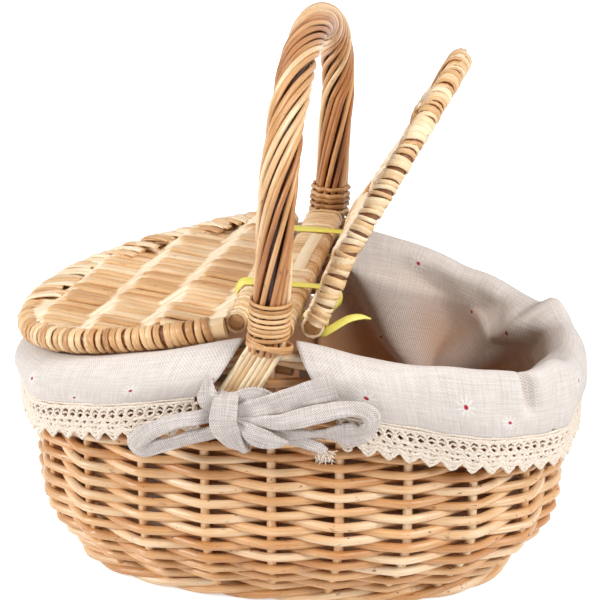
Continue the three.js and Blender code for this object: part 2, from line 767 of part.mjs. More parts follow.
// Woven panel: a sheet that rises over each rib and falls between them. The ribs run a little aslant, and the
// drift is how far they move out from the hinge for each millimetre along it.
function lidPanel(notches, drift) {
  const top = [];
  for (let i = -1; i <= LID_PANEL_CRESTS; i++) {
    top.push(new THREE.Vector2(panelStart + wavePitch * i, -LID_PANEL_WAVE));
    top.push(new THREE.Vector2(panelStart + wavePitch * (i + 0.5), LID_PANEL_WAVE));
  }
  top.push(new THREE.Vector2(panelStart + wavePitch * (LID_PANEL_CRESTS + 1), -LID_PANEL_WAVE));
  const half = LID_PANEL_THICKNESS / 2;
  const section = new THREE.Shape([
    ...top.map((p) => new THREE.Vector2(p.x, p.y - half)),
    ...top.map((p) => new THREE.Vector2(p.x, p.y + half)).reverse(),
  ]);
  const sheet = new THREE.ExtrudeGeometry(section, { depth: LID_WIDTH, bevelEnabled: false });
  sheet.rotateX(Math.PI / 2).translate(0, LID_WIDTH / 2, LID_PANEL_LIFT);
  sheet.applyMatrix4(new THREE.Matrix4().makeShear(0, 0, drift, 0, 0, 0));
  const deep = 4 * (LID_PANEL_WAVE + LID_PANEL_THICKNESS + LID_PANEL_LIFT);
  const outline = new THREE.ExtrudeGeometry(panelOutline(notches), { depth: deep, bevelEnabled: false });
  outline.translate(0, 0, -deep / 2);
  return geometryOf(solidOf(sheet).intersect(solidOf(outline)));
}

const ribSlope = Math.atan2(2 * LID_PANEL_WAVE, wavePitch / 2);
const ribBelowCrest = LID_PANEL_THICKNESS / 2 + FIT + LID_RIB_RADIUS / Math.cos(ribSlope);
const ribHeight = LID_PANEL_LIFT + LID_PANEL_WAVE - ribBelowCrest;

function panelReach(x) {
  return Math.abs(lidOutline(lidStartAngle(x, panelInset), panelInset).y) - LID_RIB_RADIUS;
}

function buildLid(parent, side, notches, drift) {
  add(parent, side + '_lid_bow', rod(lidBow, LID_BOW_RADIUS, 6, LID_BOW_STEPS), willow);
  const hingeRodReach = LID_WIDTH / 2 + HINGE_ROD_OVERHANG;
  add(parent, side + '_lid_hinge_rod', straightRod(
    new THREE.Vector3(0, -hingeRodReach, 0),
    new THREE.Vector3(0, hingeRodReach, 0),
    HINGE_ROD_RADIUS,
    8,
  ), willow);
  add(parent, side + '_lid_panel', lidPanel(notches, drift), cane);
  crestPlaces.forEach((x, i) => {
    const reach = panelReach(x + Math.abs(drift) * panelReach(x));
    add(parent, side + '_lid_rib_' + (i + 1), straightRod(
      new THREE.Vector3(x - drift * reach, -reach, ribHeight),
      new THREE.Vector3(x + drift * reach, reach, ribHeight),
      LID_RIB_RADIUS,
      6,
    ), willowDark);
  });
  add(parent, side + '_lid_bow_wrap', winding(side + '_lid_bow_wrap', {
    place: lidBowFrame,
    hull: (angle) => {
      const normal = [Math.cos(angle), Math.sin(angle)];
      return [lidBowHull * normal[0], lidBowHull * normal[1], normal];
    },
    length: lidBowLength,
    turns: LID_BOW_TURNS,
    steps: lidSteps,
    width: LID_BOW_STRIP_WIDTH,
    thickness: STRIP_THICKNESS,
  }), cane);
  const wrapReach = LID_WIDTH / 2 - lidBowOuter - FIT;
  add(parent, side + '_lid_hinge_rod_wrap', winding(side + '_lid_hinge_rod_wrap', {
    place: (along) => ({
      centre: new THREE.Vector3(0, along - wrapReach, 0),
      side: new THREE.Vector3(1, 0, 0),
      top: new THREE.Vector3(0, 0, -1),
    }),
    hull: (angle) => {
      const normal = [Math.cos(angle), Math.sin(angle)];
      return [hingeRodHull * normal[0], hingeRodHull * normal[1], normal];
    },
    length: 2 * wrapReach,
    turns: HINGE_ROD_TURNS,
    steps: lidSteps,
    width: HINGE_ROD_STRIP_WIDTH,
    thickness: STRIP_THICKNESS,
  }), cane);
}

const rightLid = new THREE.Group();
rightLid.position.set(hingeX, 0, crossbarHeight);
rightLid.rotation.y = -deg(RIGHT_LID_ANGLE);
basket.add(rightLid);
buildLid(rightLid, 'right', [...Object.values(tiePlaces), tailPlace], -LID_PANEL_DRIFT);

const leftSide = new THREE.Group();
leftSide.rotation.z = Math.PI;
basket.add(leftSide);
const leftLid = new THREE.Group();
leftLid.position.set(hingeX, 0, crossbarHeight);
leftLid.rotation.y = -deg(LEFT_LID_ANGLE);
leftSide.add(leftLid);
buildLid(leftLid, 'left', Object.values(tiePlaces).map((y) => -y), LID_PANEL_DRIFT);

// Ties looped round the crossbar and both hinge rods
function stadium(halfLength, radius, steps) {
  const points = [];
  for (let i = 0; i < 2 * steps; i++) {
    const a = -Math.PI / 2 + (Math.PI * (i + 0.5)) / steps;
    const shift = Math.cos(a) > 0 ? halfLength : -halfLength;
    points.push(new THREE.Vector2(shift + radius * Math.cos(a), radius * Math.sin(a)));
  }
  return points;
}

for (const [end, y] of Object.entries(tiePlaces)) {
  const shape = new THREE.Shape(stadium(hingeX, tieOuter, tieSteps));
  shape.holes.push(new THREE.Path(stadium(hingeX, tieInner, tieSteps).reverse()));
  const loop = new THREE.ExtrudeGeometry(shape, { depth: TIE_WIDTH, bevelEnabled: false });
  loop.rotateX(Math.PI / 2).translate(0, y + TIE_WIDTH / 2, crossbarHeight);
  add(basket, end + '_hinge_tie', loop, yellowTie);
}

// Loose strip end knotted round the right lid's hinge rod
{
  const ring = new THREE.Shape(stadium(0, tieOuter, tieSteps));
  ring.holes.push(new THREE.Path(stadium(0, tieInner, tieSteps).reverse()));
  const collar = new THREE.ExtrudeGeometry(ring, { depth: TIE_WIDTH, bevelEnabled: false });
  collar.rotateX(Math.PI / 2).translate(0, tailPlace + TIE_WIDTH / 2, 0);
  const middle = tieInner + TIE_THICKNESS / 2;
  const out = deg(-RIGHT_LID_ANGLE - TAIL_DROOP_ANGLE);
  const root = new THREE.Vector3(middle * Math.cos(out), tailPlace, middle * Math.sin(out));
  const away = new THREE.Vector3(Math.cos(deg(-RIGHT_LID_ANGLE)), 0, Math.sin(deg(-RIGHT_LID_ANGLE)));
  const lift = new THREE.Vector3(-away.z, 0, away.x);
  const forward = new THREE.Vector3(0, -1, 0);
  const half = root.clone().addScaledVector(away, TAIL_LENGTH * TAIL_BEND);
  half.addScaledVector(forward, TAIL_FORWARD * TAIL_BEND_FORWARD);
  const tip = root.clone().addScaledVector(away, TAIL_LENGTH).addScaledVector(forward, TAIL_FORWARD);
  tip.addScaledVector(lift, TAIL_RISE);
  const tail = rod(new THREE.QuadraticBezierCurve3(root, half, tip), TIE_WIDTH / 2, 5, 6);
  add(rightLid, 'right_lid_tail', joined([collar, tail]), yellowTie);
}

// Bows at the handle's feet, the back one turned half round
const knotHeight = WALL_TOP - KNOT_BELOW_RIM;
const knotDepth = fanDepth + FAN_ROD_RADIUS + FIT + KNOT_DEPTH / 2;

function loopBand(length, height) {
  const outer = stadium(length / 2 - height / 2, height / 2, 5);
  const shape = new THREE.Shape(outer);
  shape.holes.push(new THREE.Path(stadium(length / 2 - height / 2, height / 2 - BOW_BAND, 5).reverse()));
  const band = new THREE.ExtrudeGeometry(shape, { depth: BOW_DEPTH, bevelEnabled: false });
  return band.rotateX(Math.PI / 2).translate(0, BOW_DEPTH / 2, 0);
}

function strap(from, to) {
  const along = to.clone().sub(from).normalize();
  const across = new THREE.Vector3(-along.z, 0, along.x).multiplyScalar(BOW_BAND / 2);
  const through = new THREE.Vector3(0, LINEN, 0);
  const ring = (p) => [
    p.clone().sub(across).sub(through),
    p.clone().add(across).sub(through),
    p.clone().add(across).add(through),
    p.clone().sub(across).add(through),
  ];
  return loft([ring(from), ring(to)], false);
}

for (const [end, turn] of [['front', 0], ['back', Math.PI]]) {
  const bow = new THREE.Group();
  bow.rotation.z = turn;
  basket.add(bow);
  const centre = new THREE.Group();
  centre.position.set(KNOT_X, -knotDepth, knotHeight);
  bow.add(centre);
  const knot = new THREE.SphereGeometry(0.5, KNOT_SIDES, 8);
  knot.scale(KNOT_WIDTH, KNOT_DEPTH, KNOT_HEIGHT);
  add(centre, end + '_bow_knot', knot, bowLinen);

  const loops = [
    ['left', -1, LEFT_LOOP_LENGTH, LEFT_LOOP_HEIGHT, -LEFT_LOOP_DROOP, LEFT_LOOP_SWING],
    ['right', 1, RIGHT_LOOP_LENGTH, RIGHT_LOOP_HEIGHT, RIGHT_LOOP_RISE, 0],
  ];
  for (const [side, sign, length, height, rise, swing] of loops) {
    const arm = new THREE.Group();
    arm.rotation.z = sign * deg(swing);
    centre.add(arm);
    const band = loopBand(length, height);
    band.translate(sign * (KNOT_WIDTH / 2 + FIT + length / 2), 0, 0);
    band.rotateY(-sign * Math.atan2(rise, length));
    add(arm, end + '_bow_loop_' + side, band, bowLinen);
  }

  const cuffFace = CUFF_BULGE + CUFF_FOLD_DEPTH + LINEN;
  const strapHeight = KNOT_HEIGHT * STRAP_RISE;
  const strapFoot = (strapHeight - BOW_BAND / 2) / (KNOT_HEIGHT / 2);
  const knotReach = (KNOT_WIDTH / 2) * Math.cos(Math.PI / KNOT_SIDES) * Math.sqrt(1 - strapFoot ** 2);
  for (const [side, sign] of [['left', -1], ['right', 1]]) {
    const corner = new THREE.Vector3(
      sign * CUFF_GAP_HEM,
      -(WALL_WIDTH / 2 + cuffFace),
      WALL_TOP + cuffTop - STRAP_BELOW_CUFF_TOP,
    );
    const knotSide = new THREE.Vector3(
      KNOT_X + sign * knotReach,
      -knotDepth,
      knotHeight + strapHeight,
    );
    add(bow, end + '_bow_strap_' + side, strap(corner, knotSide), bowLinen);
  }
}

export default basket;
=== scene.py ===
import bisect
import random
from math import asin, copysign, cos, dist, exp, hypot, pi, radians, sin, sqrt, tau

import bmesh
import bpy
from mathutils import Matrix, Vector, noise
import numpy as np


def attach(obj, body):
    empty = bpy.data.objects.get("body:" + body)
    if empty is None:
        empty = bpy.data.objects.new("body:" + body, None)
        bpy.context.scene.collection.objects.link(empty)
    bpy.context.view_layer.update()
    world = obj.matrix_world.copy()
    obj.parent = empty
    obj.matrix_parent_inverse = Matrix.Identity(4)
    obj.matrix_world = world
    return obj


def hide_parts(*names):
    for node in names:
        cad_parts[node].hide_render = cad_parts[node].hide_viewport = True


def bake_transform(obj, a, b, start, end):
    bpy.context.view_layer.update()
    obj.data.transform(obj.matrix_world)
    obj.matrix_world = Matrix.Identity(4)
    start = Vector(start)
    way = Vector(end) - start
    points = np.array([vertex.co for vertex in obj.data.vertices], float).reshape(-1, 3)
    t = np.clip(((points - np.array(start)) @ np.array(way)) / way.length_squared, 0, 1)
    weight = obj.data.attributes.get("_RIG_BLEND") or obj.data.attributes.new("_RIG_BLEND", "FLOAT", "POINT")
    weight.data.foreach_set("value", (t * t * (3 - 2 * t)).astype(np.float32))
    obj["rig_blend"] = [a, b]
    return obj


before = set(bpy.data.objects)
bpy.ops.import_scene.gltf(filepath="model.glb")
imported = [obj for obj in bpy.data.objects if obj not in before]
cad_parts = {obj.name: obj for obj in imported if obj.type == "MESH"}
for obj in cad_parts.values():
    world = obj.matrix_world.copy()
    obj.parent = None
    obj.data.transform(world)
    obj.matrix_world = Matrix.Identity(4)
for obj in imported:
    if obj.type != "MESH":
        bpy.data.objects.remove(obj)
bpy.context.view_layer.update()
print("frame loaded")

chance = random.Random(11)
noise.seed_set(1795800092)
vary = chance.uniform
up = Vector((0, 0, 1))
scene = bpy.context.scene


# Camera, floor and light
def aimed(name, data, place, target):
    thing = bpy.data.objects.new(name, data)
    scene.collection.objects.link(thing)
    thing.location = place
    thing.rotation_euler = (Vector(target) - Vector(place)).to_track_quat("-Z", "Y").to_euler()
    return thing


cameraData = bpy.data.cameras.new("camera")
cameraData.lens = 132
cameraData.sensor_width = 36
scene.camera = aimed("camera", cameraData, (0.1685, -1.0639, 0.5417), (0, 0, 0.139))
scene.view_settings.view_transform = "Standard"

lampTarget = (0, 0, 0.12)
lamps = {
    "leftLamp": {"place": (-1.9, -0.85, 0.9), "size": 0.7, "power": 35},
    "rightLamp": {"place": (1.5, -0.9, 1.4), "size": 0.7, "power": 29},
    "topLamp": {"place": (0.6, -0.35, 1.9), "size": 1.0, "power": 14},
}
for lampName, lamp in lamps.items():
    lampData = bpy.data.lights.new(lampName, "AREA")
    lampData.size = lamp["size"]
    lampData.energy = lamp["power"]
    aimed(lampName, lampData, lamp["place"], lampTarget)


# Small helpers for materials
def srgb(*levels):
    linear = [((c / 255 + 0.055) / 1.055) ** 2.4 if c > 10 else c / 255 / 12.92 for c in levels]
    return (*linear, 1)


def fill(tree, n, values):
    for key, value in values.items():
        if isinstance(value, bpy.types.NodeSocket):
            tree.links.new(value, n.inputs[key])
        else:
            n.inputs[key].default_value = value


def put(tree, kind, values=None, **settings):
    n = tree.nodes.new(kind)
    for key, value in settings.items():
        setattr(n, key, value)
    fill(tree, n, values or {})
    return n


def newMaterial(name):
    material = bpy.data.materials.new(name)
    material.use_nodes = True
    tree = material.node_tree
    tree.nodes.clear()
    shader = put(tree, "ShaderNodeBsdfPrincipled")
    put(tree, "ShaderNodeOutputMaterial", {"Surface": shader.outputs[0]})
    return material, tree, shader


def ramp(tree, factor, stops):
    stops = list(stops)
    n = put(tree, "ShaderNodeValToRGB", {"Fac": factor})
    while len(n.color_ramp.elements) < len(stops):
        n.color_ramp.elements.new(0.5)
    for element, (place, colour) in zip(n.color_ramp.elements, stops):
        element.position = place
        element.color = colour
    return n.outputs["Color"]


def scaled(tree, vector, factors):
    return put(tree, "ShaderNodeVectorMath", {0: vector, 1: factors}, operation="MULTIPLY").outputs[0]


def blotch(tree, vector, stretch, detail, rough=0.55):
    values = {"Vector": scaled(tree, vector, stretch), "Scale": 1.0, "Detail": detail, "Roughness": rough}
    return put(tree, "ShaderNodeTexNoise", values).outputs["Fac"]


def maths(tree, operation, *values):
    return put(tree, "ShaderNodeMath", dict(enumerate(values)), operation=operation).outputs[0]


def ranged(tree, value, fromMin, fromMax, toMin=0, toMax=1):
    values = {"Value": value, "From Min": fromMin, "From Max": fromMax, "To Min": toMin, "To Max": toMax}
    return put(tree, "ShaderNodeMapRange", values).outputs["Result"]


def mixed(tree, factor, a, b):
    values = {"Factor": factor, "A": a, "B": b}
    return put(tree, "ShaderNodeMix", values, data_type="RGBA").outputs["Result"]


def bumped(tree, height, strength, distance):
    values = {"Height": height, "Strength": strength, "Distance": distance}
    return put(tree, "ShaderNodeBump", values).outputs[0]


def lengthOf(tree, vector):
    return put(tree, "ShaderNodeVectorMath", {0: vector}, operation="LENGTH").outputs["Value"]


def attribute(tree, name, output):
    return put(tree, "ShaderNodeAttribute", attribute_name=name).outputs[output]


def seen(tree):
    ray = put(tree, "ShaderNodeLightPath").outputs
    direct = maths(tree, "MAXIMUM", ray["Is Camera Ray"], ray["Is Glossy Ray"])
    return maths(tree, "MAXIMUM", direct, ray["Is Transmission Ray"])


# White all round to look at, and a plain soft light on the basket
world = bpy.data.worlds.new("studio")
world.use_nodes = True
scene.world = world
sky = world.node_tree
sky.nodes.clear()
skyLight = put(sky, "ShaderNodeBackground", {"Color": (1.0, 0.985, 0.965, 1), "Strength": 0.2})
skyWhite = put(sky, "ShaderNodeBackground", {"Color": (1, 1, 1, 1), "Strength": 1.0})
skyMix = put(sky, "ShaderNodeMixShader", {"Fac": seen(sky), 1: skyLight.outputs[0], 2: skyWhite.outputs[0]})
put(sky, "ShaderNodeOutputWorld", {"Surface": skyMix.outputs[0]})

# The floor takes shadows near the basket and goes to white away from it
floorSize = {"half": 4, "below": 0.0003, "away": (0.5, 1.4), "glow": (0.6, 1.0)}
floorMaterial, floorTree, floorShader = newMaterial("floor_white")
floorAway = lengthOf(floorTree, put(floorTree, "ShaderNodeTexCoord").outputs["Object"])
floorGlow = ranged(floorTree, floorAway, *floorSize["away"], *floorSize["glow"])
fill(floorTree, floorShader, {
    "Base Color": srgb(244, 244, 244),
    "Roughness": 0.9,
    "Emission Color": (1, 1, 1, 1),
    "Emission Strength": maths(floorTree, "MULTIPLY", seen(floorTree), floorGlow),
})
floorBm = bmesh.new()
bmesh.ops.create_grid(floorBm, x_segments=1, y_segments=1, size=floorSize["half"])
floorMesh = bpy.data.meshes.new("floor")
floorBm.to_mesh(floorMesh)
floorBm.free()
floorMesh.materials.append(floorMaterial)
floor = bpy.data.objects.new("floor", floorMesh)
scene.collection.objects.link(floor)
floor.location.z = -floorSize["below"]


# Peeled willow or cane: each rod has its own tone, with streaks and scars that run along it
rodGrain = {"streak": (0.05, 0.9, 0.9), "patch": (0.03, 0.1, 0.1), "scar": (0.22, 0.45, 0.45),
            "ridge": (0.12, 3.2, 3.2)}
rodStops = (0.26, 0.46, 0.66, 0.9)
# Roughness, how strong the scars are, and four colours from dark to light
rodLooks = {
    "willow": (0.27, 0.9, (120, 62, 26), (192, 130, 74), (224, 176, 124), (250, 230, 198)),
    "willow_dark": (0.5, 0.7, (136, 80, 38), (192, 132, 70), (220, 168, 106), (240, 202, 148)),
    # handle_willow's darkest colour is mostly reached by the handle core's painted shade
    "handle_willow": (0.3, 0.55, (68, 28, 8), (172, 110, 60), (214, 164, 110), (248, 222, 182)),
    # lid_straw's lightest colour is also reached by the painted highlight on the lid's steep slopes
    "lid_straw": (0.36, 0.5, (134, 80, 38), (196, 142, 88), (224, 182, 132), (250, 228, 196)),
    "cane": (0.34, 0.5, (132, 80, 38), (200, 148, 92), (230, 190, 140), (250, 228, 190)),
    "yellow_strip": (0.36, 0.0, (206, 188, 44), (222, 206, 66), (232, 220, 92), (240, 232, 128)),
}


def rodMaterial(name, gloss, scars, *colours):
    material, tree, shader = newMaterial(name)
    grain = attribute(tree, "grain", "Vector")
    streak = blotch(tree, grain, rodGrain["streak"], 4.0)
    patch = blotch(tree, grain, rodGrain["patch"], 2.0)
    shade = maths(tree, "MULTIPLY", attribute(tree, "tone", "Fac"), 0.62)
    shade = maths(tree, "ADD", shade, maths(tree, "MULTIPLY", streak, 0.34))
    shade = maths(tree, "ADD", shade, maths(tree, "MULTIPLY", patch, 0.36))
    colour = ramp(tree, shade, zip(rodStops, [srgb(*levels) for levels in colours]))
    scar = blotch(tree, grain, rodGrain["scar"], 2.0)
    scarMask = ramp(tree, scar, [(0.66, (0, 0, 0, 1)), (0.74, (scars, scars, scars, 1))])
    ridges = blotch(tree, grain, rodGrain["ridge"], 3.0)
    fill(tree, shader, {
        "Base Color": mixed(tree, scarMask, colour, srgb(112, 66, 32)),
        "Roughness": ranged(tree, streak, 0, 1, gloss - 0.08, gloss + 0.12),
        "Normal": bumped(tree, ridges, 0.35, 0.0004),
    })
    return material


willow, willowDark, handleWillow, lidStraw, cane, yellowStrip = [
    rodMaterial(name, *look) for name, look in rodLooks.items()
]
print("materials ready")


# The basket's oval. A share counts along its length from the right end round by the back, all in mm.
oval = {"power": 2.4, "base": (119, 75), "baseShift": -3, "wall": (141, 96)}
wall = {"foot": 8.9, "bulge": 48, "top": 139.5, "drop": 34, "dropPower": 1.2}


def power(value, exponent):
    return copysign(abs(value) ** exponent, value)


def ovalPoint(halfLength, halfWidth, angle):
    exponent = 2 / oval["power"]
    return halfLength * power(cos(angle), exponent), halfWidth * power(sin(angle), exponent)


ovalSteps = 3600
ovalAngles = [tau * i / ovalSteps for i in range(ovalSteps + 1)]
ovalLengths = [0.0]
for a, b in zip(ovalAngles, ovalAngles[1:]):
    step = dist(ovalPoint(*oval["wall"], a), ovalPoint(*oval["wall"], b))
    ovalLengths.append(ovalLengths[-1] + step)
ovalLength = ovalLengths[-1]


def stepAt(lengths, along):
    i = min(max(bisect.bisect_right(lengths, along), 1), len(lengths) - 1)
    return i, (along - lengths[i - 1]) / (lengths[i] - lengths[i - 1])


def angleAt(share):
    i, part = stepAt(ovalLengths, (share % 1) * ovalLength)
    return ovalAngles[i - 1] + part * (ovalAngles[i] - ovalAngles[i - 1])


def wallPoint(share, z, inset):
    low = 1 - min(max((z - wall["foot"]) / (wall["bulge"] - wall["foot"]), 0), 1)
    swell = 1 - low ** 2
    half = [b + (w - b) * swell - inset for b, w in zip(oval["base"], oval["wall"])]
    x, y = ovalPoint(*half, angleAt(share))
    return Vector((x + oval["baseShift"] * (1 - swell), y, z))


def wallTop(share):
    x = ovalPoint(*oval["wall"], angleAt(share))[0]
    return wall["top"] - wall["drop"] * abs(x / oval["wall"][0]) ** wall["dropPower"]


def outward(share):
    a, b = oval["wall"]
    x, y = ovalPoint(a, b, angleAt(share))
    steep = oval["power"] - 1
    return Vector((power(x / a, steep) / a, power(y / b, steep) / b, 0)).normalized()


def edgePoint(share, offset, height):
    p = wallPoint(share, wall["top"], 0) + outward(share) * offset
    p.z = wallTop(share) + height
    return p


def shares(count):
    return [i / count for i in range(count + 1)]


# Half the chord of a rounded outline, at a share of the way out
def halfChord(half, share, exponent):
    return half * (1 - share ** exponent) ** (1 / exponent)


def smooth(low, high, value):
    t = min(max((value - low) / (high - low), 0), 1)
    return t * t * (3 - 2 * t)


# A smooth line through marks that lie evenly from 0 to 1
def through(points, t):
    t = min(max(t, 0), 1) * (len(points) - 1)
    i = min(int(t), len(points) - 2)
    t -= i
    near = [points[min(max(i + k, 0), len(points) - 1)] for k in (-1, 0, 1, 2)]
    place = []
    for p, q, r, s in zip(*near):
        square = (2 * p - 5 * q + 4 * r - s) * t * t
        cube = (3 * q - p - 3 * r + s) * t ** 3
        place.append(0.5 * (2 * q + (r - p) * t + square + cube))
    return tuple(place)


# Mesh helpers
grainSpan = 900
ripplePitch = {"along": 14, "across": 2.6}


def newShape():
    bm = bmesh.new()
    bm.verts.layers.float.new("tone")
    bm.verts.layers.float_vector.new("grain")
    return bm


# A rod or strip along a path. half, its half width and thickness, and tone may be lists. facing is the way
# its broad side looks, and flat below 1 squares the section off.
def sweep(bm, path, half, sides=8, closed=False, facing=None, tone=0.5, flat=1.0, ripple=0.0):
    toneLayer = bm.verts.layers.float["tone"]
    grainLayer = bm.verts.layers.float_vector["grain"]
    count = len(path)
    steps = count if closed else count - 1
    start = chance.random() * grainSpan
    rings = []
    along = 0
    top = None
    for i in range(steps + 1):
        here = path[i % count]
        before = path[(i - 1) % count] if closed else path[max(i - 1, 0)]
        after = path[(i + 1) % count] if closed else path[min(i + 1, count - 1)]
        run = (after - before).normalized()
        if facing:
            top = facing[i % count]
        elif top is None:
            top = run.orthogonal()
        top = (top - run * top.dot(run)).normalized()
        if i:
            along += (here - path[i - 1]).length
        size = half[i % count] if isinstance(half, list) else half
        shade = tone[i % count] if isinstance(tone, list) else tone
        rings.append((here, run.cross(top), top, size, along, shade))
    corners = []
    for j in range(sides + 1):
        turn = tau * j / sides
        corners.append((power(cos(turn), flat), power(sin(turn), flat)))
    grid = bmesh.ops.create_grid(bm, x_segments=steps, y_segments=sides, size=0.5)["verts"]
    seam = []
    ends = []
    for v in grid:
        i = round((v.co.x + 0.5) * steps)
        j = round((v.co.y + 0.5) * sides)
        here, side, top, (wide, thick), along, shade = rings[i]
        across, rise = wide * corners[j][0], thick * corners[j][1]
        if ripple:
            spot = Vector((along / ripplePitch["along"], across / ripplePitch["across"], start))
            rise += ripple * noise.noise(spot)
        v.co = here + side * across + top * rise
        v[toneLayer] = shade
        v[grainLayer] = (start + along, across, rise)
        if j in (0, sides) or closed and i in (0, steps):
            seam.append(v)
        if not closed and i in (0, steps):
            ends.append(v)
    bmesh.ops.remove_doubles(bm, verts=seam, dist=1e-4)
    rims = {e for v in ends if v.is_valid for e in v.link_edges if e.is_boundary}
    for e in rims:
        e.smooth = False
    if rims:
        bmesh.ops.holes_fill(bm, edges=list(rims))


def rod(bm, path, radius, taper=0.0, sides=8, tone=None, closed=False, facing=None):
    shade = vary(0.15, 0.95) if tone is None else tone
    count = len(path)
    half = [(radius * (1 + taper * (0.5 - i / count)),) * 2 for i in range(count)]
    sweep(bm, path, half, sides, closed, facing, shade)


def makePiece(name, bm, material, nodes, body="basket", turned=None):
    if turned:
        bmesh.ops.transform(bm, matrix=turned, verts=bm.verts)
    bmesh.ops.scale(bm, vec=(0.001, 0.001, 0.001), verts=bm.verts)
    bmesh.ops.recalc_face_normals(bm, faces=bm.faces)
    mesh = bpy.data.meshes.new(name)
    bm.to_mesh(mesh)
    bm.free()
    mesh.shade_smooth()
    mesh.materials.append(material)
    piece = bpy.data.objects.new(name, mesh)
    scene.collection.objects.link(piece)
    if body:
        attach(piece, body)
    if nodes:
        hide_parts(*nodes)
    return piece


# Woven wall: upright stakes, and rods that pass in front of one stake and behind the next
weave = {
    "stakes": 22, "stakeRadius": 2.4, "stakeInset": 5.5, "stakeFoot": 6, "stakeAbove": 2, "rows": 24,
    "first": 10.8, "pitch": 4.0, "uneven": (-0.3, 0.3), "rodRadius": 2.42, "inset": 6.5, "swing": 4.4,
    "bend": 0.985, "steps": 10, "lengths": [8, 8, 6], "gapRows": 8, "gapStakes": (5, 16),
    "gapEnds": [(1, 1), (1, 0.3), (0.4, 1)],
}


def weaveRod(bm, row, first, last):
    z = weave["first"] + weave["pitch"] * row
    lift, tilt = [vary(*weave["uneven"]) for _ in range(2)]
    count = round((last - first) * weave["steps"])
    path = []
    for i in range(count + 1):
        place = first + i / weave["steps"]
        share = (place + 0.5) / weave["stakes"]
        bend = asin(weave["bend"] * cos(pi * (place + row))) / asin(weave["bend"])
        p = wallPoint(share, z + lift + tilt * (i / count - 0.5), weave["inset"])
        path.append(p + outward(share) * weave["swing"] * bend)
    rod(bm, path, weave["rodRadius"] * vary(0.88, 1.08), vary(-0.22, 0.22), tone=vary(0.25, 0.7))


bm = newShape()
for i in range(weave["stakes"]):
    stakeShare = (i + 0.5) / weave["stakes"]
    height = wallTop(stakeShare) + weave["stakeAbove"] - weave["stakeFoot"]
    levels = [weave["stakeFoot"] + height * t for t in shares(16)]
    path = [wallPoint(stakeShare, z, weave["stakeInset"]) for z in levels]
    rod(bm, path, weave["stakeRadius"], 0.15, tone=vary(0.4, 0.75))
for row in range(weave["rows"]):
    place = chance.randrange(0, weave["stakes"] // 2) * 2 + (row + 1) % 2
    for length in chance.sample(weave["lengths"], len(weave["lengths"])):
        weaveRod(bm, row, place, place + length)
        place += length
for row in range(weave["rows"], weave["rows"] + weave["gapRows"]):
    for middle in weave["gapStakes"]:
        before, after = chance.choice(weave["gapEnds"])
        weaveRod(bm, row, middle - before, middle + after)
makePiece("woven_wall", bm, willow, ["wall_weave", "stake_frame"])
print("wall woven")


# Twisted borders round the foot and the top edge
borders = {
    "foot_wale": {"node": "foot_border", "slot": "willow", "strands": 3, "turns": 8, "ring": 2.1,
                  "radius": 2.35, "line": lambda share: wallPoint(share, 0, 4.5) + up * 4.5},
    "rim_roll": {"node": "rim_border", "slot": "willow_dark", "strands": 4, "turns": 7, "ring": 2.6,
                 "radius": 2.1, "line": lambda share: edgePoint(share, -4.8, 5.0)},
}
for name, own in borders.items():
    bm = newShape()
    for k in range(own["strands"]):
        path = []
        facing = []
        for share in shares(264)[:-1]:
            turn = tau * (own["turns"] * share + k / own["strands"])
            normal = outward(share)
            path.append(own["line"](share) + (normal * cos(turn) + up * sin(turn)) * own["ring"])
            facing.append(normal)
        rod(bm, path, own["radius"], tone=0.35 + 0.5 * k / own["strands"], closed=True, facing=facing)
    makePiece(name, bm, willow, [own["node"]])

# Woven base: sticks both ways, and oval rows that pass over and under them
base = {
    "half": (109.6, 65.6), "height": 3.2, "rows": 15, "first": 1.8, "pitch": 4.2, "rodRadius": 1.75,
    "wave": 1.2, "crossings": 26, "steps": 208,
}
sticks = {"places": (-14, 0, 14), "marks": (-108, -55, -3, 49, 102), "radius": 2.2}
cross = {"count": 9, "pitch": 23, "half": (111, 62), "radius": 1.9}
bm = newShape()
for y in sticks["places"]:
    rod(bm, [Vector((x, y, base["height"])) for x in sticks["marks"]], sticks["radius"])
for k in range(cross["count"]):
    x = (k - cross["count"] // 2) * cross["pitch"]
    reach = halfChord(cross["half"][1], abs(x / cross["half"][0]), oval["power"])
    path = [Vector((x + oval["baseShift"], -reach + 2 * reach * t, base["height"])) for t in shares(4)]
    rod(bm, path, cross["radius"])
for row in range(base["rows"]):
    path = []
    shrink = base["pitch"] * row + base["first"]
    for share in shares(base["steps"])[:-1]:
        x, y = ovalPoint(base["half"][0] - shrink, base["half"][1] - shrink, angleAt(share))
        wave = cos(pi * (base["crossings"] * share + row))
        path.append(Vector((x + oval["baseShift"], y, base["height"] + base["wave"] * wave)))
    rod(bm, path, base["rodRadius"], sides=6, closed=True, facing=[up] * len(path))
makePiece("woven_base", bm, willowDark, ["base_panel"])
print("borders and base made")

# Hoop handle of rods twisted round a core
handle = {
    "half": 100, "foot": 149.5, "arch": 222, "top": 284.6, "lean": 6.5, "core": 5.7, "steps": 110,
    "ring": 7.75, "uneven": (-0.8, 0.3), "rodRadius": 1.47, "turns": 2.7, "ease": 0.62, "stray": 0.07,
    "start": 0.2, "gaps": [0.04, 0.14, 0.05, 0.07, 0.13, 0.03, 0.12, 0.05, 0.17, 0.03, 0.08, 0.12, 0.05],
}
legLength = handle["arch"] - handle["foot"]
archRise = handle["top"] - handle["arch"]
archLength = pi * sqrt((handle["half"] ** 2 + archRise ** 2) / 2)
handleLength = 2 * legLength + archLength


def handlePoint(share):
    along = share * handleLength
    y, z = -handle["half"], handle["foot"] + along
    if along > legLength + archLength:
        y, z = handle["half"], handle["foot"] + handleLength - along
    elif along > legLength:
        turn = pi * (along - legLength) / archLength
        y, z = -handle["half"] * cos(turn), handle["arch"] + archRise * sin(turn)
    lean = sin(pi / 2 * (z - handle["foot"]) / (handle["top"] - handle["foot"]))
    return Vector((handle["lean"] * lean, y, z))


